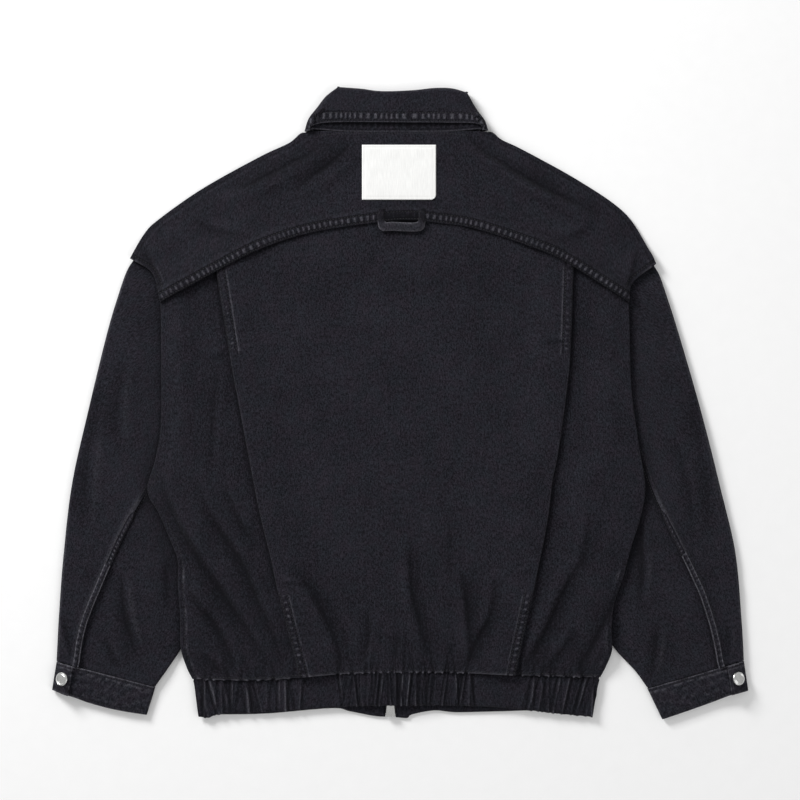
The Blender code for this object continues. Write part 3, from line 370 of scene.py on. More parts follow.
SLEEVE_FOLDS = [
    Fold([(-307, -185), (-303, -230), (-290, -280)], 2.4, 12, 1.0),
    Fold([(-325, -255), (-318, -275), (-308, -292)], 1.4, 8, 0.7),
    Fold([(-256, -165), (-257, -195), (-256, -228)], 1.8, 10, 0.8),
    Fold([(-372, -230), (-367, -258), (-360, -280)], 1.3, 8, 0.6, -1),
    Fold([(-330, 20), (-345, -70), (-350, -150)], 1.4, 16, 0.2),
    Fold([(-300, 60), (-312, 0), (-310, -60)], 1.2, 14, 0.3),
    Fold([(265, -125), (267, -175), (264, -228)], 2.4, 11, 1.0),
    Fold([(284, -240), (281, -275), (275, -306)], 1.9, 10, 0.9),
    Fold([(360, -240), (362, -262), (360, -280)], 1.3, 8, 0.6),
    Fold([(318, 20), (334, -70), (343, -150)], 1.4, 16, 0.2),
    Fold([(300, -30), (318, -100), (322, -160)], 1.2, 12, 0.3),
]


def total(table, xy):
    return sum(fold.at(xy) for fold in table)


def toned(table, xy):
    return sum(fold.tone(xy) for fold in table)


def rumple(xy, seed, height=0.3, wave=42.0):
    """Small uneven swells that no laid cloth is without."""
    rng = np.random.default_rng(seed)
    x, y = xy[..., 0], xy[..., 1]
    made = 0.0
    for octave in (1.0, 0.62, 0.37):
        for _ in range(4):
            turn, phase = rng.uniform(0, np.pi), rng.uniform(0, 2 * np.pi)
            length = wave * octave * rng.uniform(0.8, 1.3)
            bend = 6 * np.sin((x * np.sin(turn) - y * np.cos(turn)) / (length * 1.7) + phase)
            made = made + octave * np.sin(
                2 * np.pi * (x * np.cos(turn) + y * np.sin(turn) + bend) / length + phase)
    return height * made / 4


def pucker(along, seed, pitch=7.0):
    """The uneven ripple of a felled seam, -1 to 1, at distances along it."""
    rng = np.random.default_rng(seed)
    drift = sum(rng.uniform(0.7, 1.5) * np.sin(along / rng.uniform(7, 34) + rng.uniform(0, 6))
                for _ in range(5))
    return np.sin(2 * np.pi * along / pitch + drift) * (0.7 + 0.3 * np.sin(along / 23 + seed))


def gathered(x, seed, lean=0.0, depth=0.0):
    """Narrow uneven ridges over the gathered stretches, and the hollows beside them, 0 to 1.

    They are splayed by lean at a depth.
    """
    rng = np.random.default_rng(seed)
    ridges = np.zeros(np.broadcast(x, depth).shape)
    hollows = ridges.copy()
    for start, end, count in GATHERS:
        pitch = (end - start) / count
        for i in range(count):
            middle = start + pitch * (i + 0.5 + rng.uniform(-0.26, 0.26))
            tilt, size = rng.uniform(-1, 1), rng.uniform(0.45, 1.0)
            wide = rng.uniform(0.10, 0.18) * pitch
            away = x - middle - lean * tilt * depth
            ridges = np.maximum(ridges, size * bell(away, wide))
            beside = away - rng.choice([-1, 1]) * (wide + 1.3)
            hollows = np.maximum(hollows, size * bell(beside, rng.uniform(1.0, 1.9)))
    return ridges, hollows


# ---- materials

class Nodes:
    """Short names for building a node material."""

    def __init__(self, name):
        self.material = bpy.data.materials.new(name)
        self.material.use_nodes = True
        self.tree = self.material.node_tree
        self.shader = self.tree.nodes["Principled BSDF"]

    def add(self, kind, inputs, output=0, **settings):
        node = self.tree.nodes.new("ShaderNode" + kind)
        for key, value in settings.items():
            setattr(node, key, value)
        for key, value in inputs.items():
            self.put(node.inputs[key], value)
        return node.outputs[output]

    def put(self, socket, value):
        if isinstance(value, bpy.types.NodeSocket):
            self.tree.links.new(value, socket)
        else:
            socket.default_value = value

    def grain(self):
        """Coordinates along the cloth, in metres."""
        return self.add("UVMap", {}, uv_map="grain")

    def place(self):
        return self.add("TexCoord", {}, "Object")

    def math(self, operation, a, b, clamp=False):
        return self.add("Math", {0: a, 1: b}, operation=operation, use_clamp=clamp)

    def plus(self, a, b):
        return self.math("ADD", a, b)

    def times(self, a, b):
        return self.math("MULTIPLY", a, b)

    def noise(self, vector, scale, detail=2.0, rough=0.5):
        return self.add("TexNoise", {"Vector": vector, "Scale": scale, "Detail": detail,
                                     "Roughness": rough}, "Fac")

    def ribs(self, vector, scale, distortion, detail=2.0, way="Y"):
        return self.add("TexWave", {"Vector": vector, "Scale": scale, "Distortion": distortion,
                                    "Detail": detail}, "Fac", bands_direction=way)

    def stretched(self, vector, along=1.0, turn=0.0):
        return self.add("Mapping", {"Vector": vector, "Scale": (1.0, along, 1.0),
                                    "Rotation": (0, 0, turn)})

    def range(self, value, low, high, to_low=0.0, to_high=1.0):
        return self.add("MapRange", {"Value": value, "From Min": low, "From Max": high,
                                     "To Min": to_low, "To Max": to_high})

    def mix(self, share, a, b, blend="MIX"):
        """A mix of two colours, each a socket or a plain colour."""
        a, b = ((*c, 1) if isinstance(c, tuple) else c for c in (a, b))
        return self.add("Mix", {"Factor": share, "A": a, "B": b}, "Result", data_type="RGBA",
                        blend_type=blend)

    def bump(self, height, strength, distance, under=None):
        inputs = {"Height": height, "Strength": strength, "Distance": distance}
        return self.add("Bump", inputs if under is None else {**inputs, "Normal": under})

    def finish(self, colour, normal=None, **fixed):
        self.put(self.shader.inputs["Base Color"], colour)
        if normal is not None:
            self.put(self.shader.inputs["Normal"], normal)
        for key, value in fixed.items():
            self.put(self.shader.inputs[key.replace("_", " ")], value)
        return self.material


def washed_denim():
    """Washed-black twill: slubby yarns and uneven dye, paled where the mesh marks washed rubbing
    and painted highlights, and darkened where it marks painted shade.
    """
    n = Nodes("washed_denim")
    grain = n.grain()
    yarn = n.noise(n.stretched(grain, 0.36), 690.0, 3.0, 0.75)
    slub = n.noise(n.stretched(grain, 0.14), 240.0, 2.0, 0.6)
    speck = n.noise(grain, 540.0, 4.0, 0.8)
    cloud = n.noise(grain, 17.0, 3.0, 0.55)
    hue = n.noise(grain, 60.0, 3.0, 0.6)
    washed_and_painted_light = n.add("Attribute", {}, "Fac", attribute_name="washed_and_painted_light")
    fine = n.plus(n.times(yarn, 0.5), n.times(speck, 0.5))
    tone = n.plus(n.range(fine, 0.42, 0.58, -0.38, 0.54), n.range(slub, 0.35, 0.65, -0.06, 0.08))
    tone = n.plus(tone, n.range(cloud, 0.3, 0.7, 0.26, 0.46))
    # Painted shade: below 0 the per-point value darkens the dyed colour
    tone = n.plus(tone, n.times(n.math("MINIMUM", washed_and_painted_light, 0.0), 0.55))
    tone = n.math("MAXIMUM", tone, -0.12)
    violet = n.mix(n.range(hue, 0.38, 0.62), (0.93, 1.0, 1.05), (1.07, 0.95, 1.04))
    dyed = n.mix(tone, (0.0030, 0.0029, 0.0046), (0.0235, 0.0232, 0.0300))
    # Above 0 the per-point value mixes in pale: washed rubbing and painted highlights, broken up
    # by the yarn
    washed_and_highlight_share = n.math("MULTIPLY", n.math("MAXIMUM", washed_and_painted_light, 0.0),
                    n.range(fine, 0.42, 0.60, 0.30, 1.15), clamp=True)
    colour = n.mix(washed_and_highlight_share, n.mix(1.0, dyed, violet, "MULTIPLY"), (0.165, 0.162, 0.186))
    twill = n.ribs(n.stretched(grain, turn=math.radians(28)), 330.0, 0.6, 1.0, "X")
    weave = n.plus(n.times(twill, 0.5), yarn)
    normal = n.bump(weave, 0.6, 0.0006, n.bump(n.noise(grain, 150.0, 3.0, 0.65), 0.5, 0.0016))
    return n.finish(colour, normal, Roughness=0.94, Sheen_Weight=0.03, Sheen_Roughness=0.6,
                    Specular_IOR_Level=0.10)


def thread_black():
    n = Nodes("thread_black")
    ply = n.noise(n.place(), 1500.0)
    return n.finish(n.mix(n.range(ply, 0.3, 0.7), (0.0026, 0.0026, 0.0036),
                          (0.0039, 0.0039, 0.0054)), n.bump(ply, 0.4, 0.0002), Roughness=0.7)


def woven_label():
    n = Nodes("woven_label")
    grain = n.grain()
    warp = n.noise(n.stretched(grain, 0.08), 1100.0)
    tone = n.plus(n.times(n.ribs(grain, 420.0, 0.3), 0.35), n.times(warp, 0.65))
    colour = n.mix(n.range(tone, 0.3, 0.8), (0.72, 0.72, 0.71), (0.90, 0.90, 0.885))
    cloud = n.range(n.noise(grain, 40.0), 0.35, 0.75, 0.0, 0.12)
    return n.finish(n.mix(cloud, colour, (0.62, 0.62, 0.60)), n.bump(tone, 0.35, 0.0003),
                    Roughness=0.62, Sheen_Weight=0.15)


def metal(name, colour, rough):
    n = Nodes(name)
    where = n.place()
    scratch = n.noise(n.stretched(where, 0.12, 0.6), 1800.0, 3.0)
    cloud = n.noise(where, 220.0, 3.0)
    dull = tuple(c * 0.825 for c in colour)
    return n.finish(n.mix(n.range(cloud, 0.35, 0.7), colour, dull), n.bump(scratch, 0.12, 0.0002),
                    Roughness=n.range(n.plus(scratch, cloud), 0.7, 1.3, rough * 0.8, rough * 1.3),
                    Metallic=1.0)


def tape_cloth():
    n = Nodes("zip_tape_cloth")
    grain = n.grain()
    tone = n.plus(n.times(n.ribs(grain, 500.0, 0.4), 0.5), n.times(n.noise(grain, 900.0), 0.5))
    return n.finish(n.mix(tone, (0.008, 0.008, 0.010), (0.022, 0.022, 0.026)),
                    n.bump(tone, 0.4, 0.0003), Roughness=0.85)


def floor_paper():
    n = Nodes("floor_paper")
    fibre = n.noise(n.place(), 60.0, 4.0)
    return n.finish(n.mix(fibre, (0.86, 0.86, 0.86), (0.89, 0.89, 0.89)), Roughness=0.9)


# ---- cloth meshes

FINISHES = {}     # of each kind of cloth
TOPS = []         # outer faces that stitches can lie on


def add_object(name, data):
    made = bpy.data.objects.new(name, data)
    bpy.context.scene.collection.objects.link(made)
    return made


def add_mesh(name, verts, faces, finish):
    mesh = bpy.data.meshes.new(name)
    mesh.from_pydata(verts, [], faces)
    mesh.materials.append(finish)
    return add_object(name, mesh)


def grain_of(points):
    """Cloth coordinates in metres: the distance along each row and each column."""
    across = np.linalg.norm(np.diff(points, axis=1), axis=2)
    along = np.linalg.norm(np.diff(points, axis=0), axis=2)
    u = np.concatenate([np.zeros((len(points), 1)), np.cumsum(across, 1)], 1)
    v = np.concatenate([np.zeros((1, points.shape[1])), np.cumsum(along, 0)], 0)
    return np.stack([u - u[:, [u.shape[1] // 2]], v], -1) * MM


def cloth(part, points, washed_and_painted_light=0.0, wall=0.0, flip=False, node=None, slot="denim",
          shift=(0.0, 0.0)):
    """A sheet from a grid of points, its outer face towards the viewer.

    It stands for the node of the part's name, if no other is given.
    """
    rows, columns = points.shape[:2]
    ids = np.arange(rows * columns).reshape(rows, columns)
    quads = np.stack([ids[:-1, :-1], ids[:-1, 1:], ids[1:, 1:], ids[1:, :-1]], -1).reshape(-1, 4)
    if flip:
        quads = quads[:, ::-1]
    made = add_mesh(f"{part}_cloth", (points.reshape(-1, 3) * MM).tolist(), quads.tolist(),
                    FINISHES[slot])
    layer = made.data.uv_layers.new(name="grain")
    grain = grain_of(points).reshape(-1, 2) + np.array(shift)
    layer.data.foreach_set("uv", grain[quads.ravel()].astype(np.float32).ravel())
    attribute = made.data.attributes.new("washed_and_painted_light", "FLOAT", "POINT")
    washed_and_painted_light = np.broadcast_to(washed_and_painted_light, (rows, columns)).ravel()
    attribute.data.foreach_set("value", washed_and_painted_light.astype(np.float32))
    made.data.shade_smooth()
    if wall:
        solid = made.modifiers.new("Wall", "SOLIDIFY")
        solid.thickness = wall * MM
        solid.offset = -1
        solid.use_quality_normals = True
    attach(made, "jacket")
    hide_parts(node or part)
    if not part.startswith(("front", "hem_front")):
        TOPS.append((points.reshape(-1, 3), quads))


def rolled(points, washed_and_painted_light, sides, drop, wide=0.5, tuck=4.0):
    """A grid with edges turned under, and the paleness and painted light of its points: sides of
    foot, top, left and right.
    """
    down = np.array([0, 0, drop, 0])
    made = lift(points, washed_and_painted_light)
    for side in sides.split():
        made = made.swapaxes(0, 1) if side in ("left", "right") else made
        made = made[::-1] if side in ("top", "right") else made
        inward = made[2] - made[0]
        inward[..., 2:] = 0
        inward /= np.linalg.norm(inward, axis=-1)[..., None] + 1e-9
        extra = [made[0] + inward * tuck - down]
        for turn in np.linspace(math.pi, 0, 6)[:-1]:
            extra.append(made[0] - inward * (wide * math.sin(turn))
                         - down * (1 - math.cos(turn)) / 2)
        made = np.concatenate([np.array(extra), made])
        made = made[::-1] if side in ("top", "right") else made
        made = made.swapaxes(0, 1) if side in ("left", "right") else made
    return made[..., :3], made[..., 3]


def spread(*stretches):
    """Shares 0 to 1 made of stretches, each (its end, how many steps)."""
    made, start = [0.0], 0.0
    for end, count in stretches:
        made += [start + (end - start) * (i + 1) / count for i in range(count)]
        start = end
    return np.array(made)


# ---- body

def tuck_x(side, y):
    line = TUCKS[side]
    return np.interp(y, line.points[::-1, 1], line.points[::-1, 0])


def back_grid():
    """The back panel's plan points, the cloth they lie over and their layers below the top.

    Its columns run under and back again at each tuck.
    """
    sides = [curve([*edge, (x, y + FELL / 2 - 1)]) for *edge, (x, y) in SIDE.values()]
    plan = patch(curve(HEM_SEAM), curve(YOKE_SEAM), *sides)
    rows = spread((0.10, 42), (0.32, 60), (0.9, 110), (1.0, 22))
    bend, start = TUCK_PITCH / 2, TUCK_DEPTH - 5
    tuck = [(TUCK_DEPTH, 2.0), (TUCK_DEPTH + bend, 1.5), (TUCK_DEPTH, 1.0), (5.0, 1.0)]
    tuck += [(bend * (1 - math.sin(t)), (1 - math.cos(t)) / 2)
             for t in np.radians(range(180, -1, -30))]
    columns = [("left", u, 0.0) for u in np.linspace(0, 1, 44)[:-1]]
    columns += [("left tuck", a, layer) for a, layer in tuck]
    columns += [("middle", u, 0.0) for u in np.linspace(0, 1, 200)[1:-1]]
    columns += [("right tuck", a, layer) for a, layer in tuck[::-1]]
    columns += [("right", u, 0.0) for u in np.linspace(0, 1, 48)[1:]]
    left, right = plan(0.0, rows)[:, 0], plan(1.0, rows)[:, 0]
    xy, above, layers = [], [], []
    for kind, value, layer in columns:
        y = plan(0.5, rows)[:, 1]
        for _ in range(4):
            from_x, to_x = tuck_x("left", y), tuck_x("right", y)
            x = {"left": left + (from_x + start - left) * value,
                 "left tuck": from_x + value,
                 "middle": from_x + bend + (to_x - from_x - 2 * bend) * value,
                 "right tuck": to_x - value,
                 "right": to_x - start + (right - to_x + start) * value}[kind]
            y = plan(np.clip((x - left) / (right - left), 0, 1), rows)[:, 1]
        xy.append(np.stack([x, y], -1))
        if kind == "left tuck":
            x = np.maximum(x, from_x + bend)
        elif kind == "right tuck":
            x = np.minimum(x, to_x - bend)
        above.append(np.stack([x, y], -1))
        layers.append(np.full(len(rows), layer))
    return (np.stack(values, 1) for values in (xy, above, layers))


def make_back():
    xy, above, layers = back_grid()
    x, y = above[..., 0], above[..., 1]
    from_x, to_x = tuck_x("left", y), tuck_x("right", y)
    near = np.minimum(np.abs(x - from_x), np.abs(x - to_x))
    inner = TUCK_PITCH * 0.45
    between = (x > from_x + inner) & (x < to_x - inner)
    sewn = np.maximum(smooth(50, 58, y), 1 - smooth(-214, -206, y))
    channel = sewn * between
    seam_rows = sum(bell(near - at, 0.9) for at in TUCK_ROWS) * channel
    swell = hump(near - 5.2, 4.5) * channel
    ripple = pucker(y, seed=5)
    from_seam = HEM_LINE.near(above)[0]
    over_hem = np.maximum(from_seam, 0)
    reach = 19 + 8 * np.sin(x / 17.0) + 5 * np.sin(x / 7.3)
    fans, nicks = (kind * fade(over_hem, reach) for kind in gathered(x, 7, 0.30, from_seam))
    z = back_top(above) - layers * TUCK_PITCH
    z += 2 * TUCK_PITCH * (1 - smooth(13, 55, near)) * between
    z += total(BACK_FOLDS, above) * smooth(3, 13, near)
    z += rumple(above, seed=3, height=0.42) * smooth(2, 14, near)
    z += (1.7 * fans - 0.8 * nicks) * smooth(0, 4, near) - 0.45 * seam_rows
    z += (0.55 + 0.22 * ripple) * swell
    washed_and_painted_light = (0.16 + 0.36 * sewn * (0.6 + 0.4 * ripple)) * fade(near - 0.4, 1.2)
    washed_and_painted_light *= between * smooth(-320, -290, y)
    # Paler on the sewn tuck's swell; the stitch-row grooves darkened with painted shade
    washed_and_painted_light += 0.08 * swell * sewn * (1 + ripple) - 0.9 * seam_rows
    # Painted shadow cast by each tuck's fold edge on the side panel
    washed_and_painted_light -= (1.1 * fade(near, 2.4) + 0.30 * fade(near, 13)) * ~between * (1 - 0.6 * sewn * (y < 0))
    # The sewn tuck's ladder of puckers: paler puffs with painted shade between, and a pale rubbed
    # line at the far side
    rungs = smooth(-0.2, 0.8, pucker(y, seed=6, pitch=6.5)) - 0.45
    washed_and_painted_light += channel * (0.60 * bell(near - 5.2, 3.0, 4) * rungs + 0.38 * fade(near - 10.6, 1.2))
    # Painted highlights and shade of the back's folds, and the hanger loop's painted shade
    washed_and_painted_light += toned(BACK_FOLDS, above) * smooth(1, 9, near) + loop_shade(above)
    # Gathers above the hem: painted highlight on the ridges, painted shade in the hollows and a
    # little painted shade towards the seam
    washed_and_painted_light += 0.16 * fans - 1.2 * nicks - 0.10 * fade(over_hem, 12)
    # Pale rubbed foot edge above the hem seam, paler on the ridges and with painted shade in the
    # hollows
    washed_and_painted_light += fade(from_seam - 0.6, 1.1) * (0.70 + 0.50 * fans - 0.7 * nicks)
    xy[..., 1] -= (1.4 * fans - 0.9 * nicks) * fade(over_hem, 3)
    washed_and_painted_light += 0.04 * bell(np.hypot(x / 150, (y + 10) / 190), 1) - 0.06 * smooth(-120, -290, y) - 0.06
    # A touch paler towards the yoke, and painted shadow of the yoke's lapped edge just below it
    up = YOKE_LINE.near(above)[0]
    washed_and_painted_light += 0.05 * fade(up - 6, 5) - 0.9 * fade(up + 6.4, 1.5)
    for edge in SIDE.values():
        inward = Line(edge).off(above)
        pale = 0.50 * fade(inward - 5, 1.5) * (0.75 + 0.25 * np.sin(y / 3.1))
        washed_and_painted_light += (1 - smooth(-190, -160, y)) * (pale - 0.6 * bell(inward - 2.4, 1.3))
    points, washed_and_painted_light = rolled(lift(xy, z), washed_and_painted_light, "left right", 3.4, 0.9)
    cloth("back_panel", points, washed_and_painted_light)


def loop_shade(xy):
    """Painted shade on the cloth seen through the hanger loop, and the loop's painted soft shadow
    below.
    """
    x, y = xy[..., 0], xy[..., 1]
    eye = smooth(-19, -16, x) * (1 - smooth(19, 22, x)) * smooth(196, 199, y)
    below = smooth(-26, -20, x) * (1 - smooth(24, 30, x)) * smooth(180, 188, y)
    return -0.9 * eye * (1 - smooth(207, 210, y)) - 0.4 * below * (1 - smooth(190, 194, y))


def make_yoke():
    half = FELL / 2
    shoulder = curve(SHOULDER["left"] + NECK_SEAM_BACK + SHOULDER["right"], 288)
    ends = [curve([(x, y - half), *rest]) for (x, y), *rest in YOKE_END.values()]
    plan = patch(curve([(x, y - half) for x, y in YOKE_SEAM]), shoulder, *ends)
    xy = plan(*np.meshgrid(np.linspace(0, 1, 431), spread((0.16, 24), (1.0, 90))))
    x, y = xy[..., 0], xy[..., 1]
    away, along = YOKE_LINE.near(xy)
    near_tuck = np.min([np.abs(x - tuck[0][0]) for tuck in TUCK.values()], axis=0)
    seam_rows = sum(bell(away - at, 1.0) for at in YOKE_ROWS)
    ripple = pucker(along * YOKE_LINE.length, seed=11, pitch=6.2)
    z = back_top(xy) + (WALL + LAP + 0.35) * (1 - smooth(half - 0.5, half + 6, away))
    z += 2 * TUCK_PITCH * (1 - smooth(20, 75, near_tuck)) * (1 - smooth(half, half + 34, away))
    z += total(YOKE_FOLDS, xy) + rumple(xy, seed=8) * (0.3 + 0.7 * smooth(-2, 12, away))
    z += 0.55 * hump(away, half) * (0.4 + ripple * 0.6) - 0.45 * seam_rows
    # Puckered fell: paler puffs with painted shade between them, and painted shade in the
    # stitch-row grooves
    ladder = 1 - smooth(3.0, 4.4, np.abs(away))
    washed_and_painted_light = ladder * (-0.50 + 0.92 * smooth(-0.6, 0.6, ripple)) - 1.3 * seam_rows
    washed_and_painted_light += 0.40 * fade(away + half, 1.1) * (0.6 + 0.4 * ripple)
    # At the armhole ends: a pale rubbed edge and line, and painted shade in the stitch-row groove
    for end in YOKE_END.values():
        inward = Line(end).off(xy)
        washed_and_painted_light += smooth(126, 134, y) * (0.34 * fade(inward, 1.2) + 0.20 * bell(inward - 6.6, 1.0)
                                       - 0.9 * bell(inward - 4.2, 1.1))
    # Painted highlights and shade of the yoke's folds, a little darker just above the seam band,
    # and the hanger loop's painted shade
    washed_and_painted_light += toned(YOKE_FOLDS, xy) - 0.16 * fade(away - 9, 4) + loop_shade(xy) - 0.06
    for edge in SHOULDER.values():
        inward = Line(edge).off(xy)
        washed_and_painted_light += 0.13 * fade(inward - 6.0, 1.2) - 0.45 * bell(inward - 4.0, 1.2)
        z += 0.5 * bell(inward - 7.5, 3)
    # Folds at the armhole ends, shaped and given a painted highlight and shade
    for fold in (Fold([(-283, 176), (-276, 160), (-268, 138), (-263, 120)], 1.2, 9, 1.0),
                 Fold([(263, 172), (258, 150), (254, 136), (251, 120)], 1.2, 9, 1.0, -1)):
        z += fold.at(xy) * smooth(0, 2, from_outline(xy))
        washed_and_painted_light += 1.3 * fold.tone(xy)
    points, washed_and_painted_light = rolled(lift(xy, z), washed_and_painted_light, "foot", 1.7)
    points, washed_and_painted_light = rolled(points, washed_and_painted_light, "top", 2.4, 0.8)
    points, washed_and_painted_light = rolled(points, washed_and_painted_light, "left right", 4.2, 1.0)
    cloth("back_yoke", points, washed_and_painted_light)


def make_front(side):
    left, x = side == "left", ZIP_EDGE[side]
    edge, shoulder = SIDE[side] + YOKE_END[side][1:], SHOULDER[side][::1 if left else -1]
    foot, top = (x, FRONT_SEAM_Y + 2 * SEAM), (x, FRONT_TOP_Y)
    neck = [(a if left else 2 * ZIP_X - a, b) for a, b in FRONT_NECK]
    plan = patch(curve([edge[0], foot]), curve([*shoulder, *neck, top]), curve(edge),
                 curve([foot, top]))
    xy = plan(*grid(120, 190))
    hem = np.abs(xy[..., 0] - x)
    z = front_floor(xy) + 0.15
    z += 0.12 * rumple(xy, seed=21 if left else 22, height=1.0) * smooth(3, 30, hem)
    z -= z.min() - 0.05
    seam_rows = sum(bell(hem - at, 0.9) for at in (2.5, 9.0))
    cloth(f"front_{side}", lift(xy, z + 0.3 * seam_rows), 0.4 * fade(hem, 1.5) + 0.1 * seam_rows,
          flip=left)


def make_back_band():
    tucked = 4.5
    seam = [(x, y + tucked) for x, y in HEM_SEAM]
    plan = patch(curve(BAND_FOOT), curve(seam), curve([BAND_FOOT[0], seam[0]]),
                 curve([BAND_FOOT[-1], seam[-1]]))
    u, v = grid(620, 28)
    xy = plan(u, v)
    x, rim = -222 + 434 * u, v * BAND_DEPTH
    away = HEM_LINE.near(xy)[0]
    ridges, hollows = gathered(x, 13, 7.0, v - 0.5)
    finer_ridges, finer_hollows = gathered(x, 14, 10.0, v - 0.5)
    ridges = np.maximum(ridges, 0.65 * finer_ridges)
    hollows = np.maximum(hollows, 0.7 * finer_hollows)
    z = 2 * DOUBLE + 1.0 + 2.2 * (1 - off_zip(xy[..., 0]))
    z += (2.0 * ridges - 0.7 * hollows) * (0.75 + 0.25 * np.sin(np.pi * v))
    z += rumple(xy, seed=31, wave=30) - 0.9 * (1 - smooth(0, 2.2, rim))
    z -= 2.4 * smooth(-1.0, 2.5, np.maximum(away, 0))
    xy[..., 1] -= 0.9 * (ridges - 0.4) * (1 - smooth(0, 5, rim))
    # Painted highlight on the gather ridges and painted shade in the hollows beside them
    washed_and_painted_light = 0.70 * np.clip(ridges - 0.30, 0, 1) - 1.1 * hollows - 0.06
    # Pale rubbed rim, and painted shade along the recessed hem seam
    washed_and_painted_light += 0.24 * fade(rim, 1.3) * (0.35 + ridges) - 0.9 * fade(HEM_LINE.off(xy), 1.4)
    cloth("hem_band_back", lift(xy, z), washed_and_painted_light, wall=2.0)


def make_front_band(side):
    foot, inner = FRONT_BAND_FOOT[side], (ZIP_EDGE[side], FRONT_SEAM_Y)
    outer = (SIDE[side][0][0], -306 if side == "left" else -305)
    plan = patch(curve(foot), curve([outer, inner]), curve([foot[0], outer]),
                 curve([foot[-1], inner]))
    u, v = grid(220, 16)
    xy = plan(u, v)
    rim = np.minimum(v, 1 - v) * FRONT_BAND_DEPTH
    z = 2.35 + 0.12 * rumple(xy, seed=33, height=1.0, wave=24) - 0.5 * (1 - smooth(0, 2, rim))
    washed_and_painted_light = 0.34 * fade(rim, 1.6) * (0.6 + 0.4 * pucker(xy[..., 0], seed=34)) - 0.25
    cloth(f"hem_front_{side}", lift(xy, z), washed_and_painted_light, wall=2.1, flip=side == "right",
          node=f"hem_band_{side}")


# ---- sleeves

def outside_body(xy, side):
    """How far a point of the sleeve lies outside the body's edge, 0 under the body."""
    return beyond(SLEEVE_EDGES[side], xy, "right" if side == "left" else "left")


class Sleeve:
    """A flattened tube: the floor side, two rounded folds and the upper side."""

    def __init__(self, side):
        self.side, shape = side, SLEEVES[side]
        self.plan = patch(*(curve(shape[edge]) for edge in ("cuff", "mouth", "outer", "inner")))
        self.seam = Line(shape["seam"], 96)
        self.rows = spread((0.35, 110), (1.0, 140))
        outer, inner = self.plan(0.0, self.rows), self.plan(1.0, self.rows)
        self.width = np.linalg.norm(inner - outer, axis=1)
        self.halves = {"outer": self.height(outer) / 2, "inner": self.height(inner) / 2}
        shares, rows = np.meshgrid(np.linspace(0.03, 0.97, 160), self.rows)
        best = self.seam.off(self.plan(shares, rows)).argmin(1)
        shares = shares[0, best][:, None] + np.linspace(-0.007, 0.007, 29)
        best = self.seam.off(self.plan(shares, rows[:, :29])).argmin(1)
        self.found = shares[np.arange(len(best)), best]
        self.clear = outside_body(self.plan(self.found, self.rows), side)

    def height(self, xy):
        outside = outside_body(xy, self.side)
        base = TUCKED_HEIGHT + (SLEEVE_HEIGHT - TUCKED_HEIGHT) * smooth(6, 34, outside)
        soft = total(SLEEVE_FOLDS, xy) + rumple(xy, seed=41, height=0.34)
        return base + soft * smooth(4, 16, outside)

    def at_seam(self, shift):
        """Share across each row, at a distance from the seam."""
        if abs(shift) < SLEEVE_FELL / 2:
            lap = smooth(20, 30, self.clear)
            shift = math.copysign(SEAM, -shift) * (1 - lap) + shift * lap
        return self.found + shift / self.width

    def point(self, kind, value, level=0.0):
        """kind is lower, outer, inner or upper; value a share across, or a turn in degrees."""
        first, last = self.halves["outer"] / self.width, 1 - self.halves["inner"] / self.width
        if kind in ("outer", "inner"):
            turn, half = math.radians(value), self.halves[kind]
            share = half * (1 - math.sin(turn)) / self.width
            rise = -math.cos(turn) if kind == "outer" else math.cos(turn)
            return lift(self.plan(share if kind == "outer" else 1 - share, self.rows),
                        half * (1 + rise))
        xy = self.plan(first + np.clip(value, 0, 1) * (last - first), self.rows)
        return lift(xy, 0.1 if kind == "lower" else self.height(xy) + level)


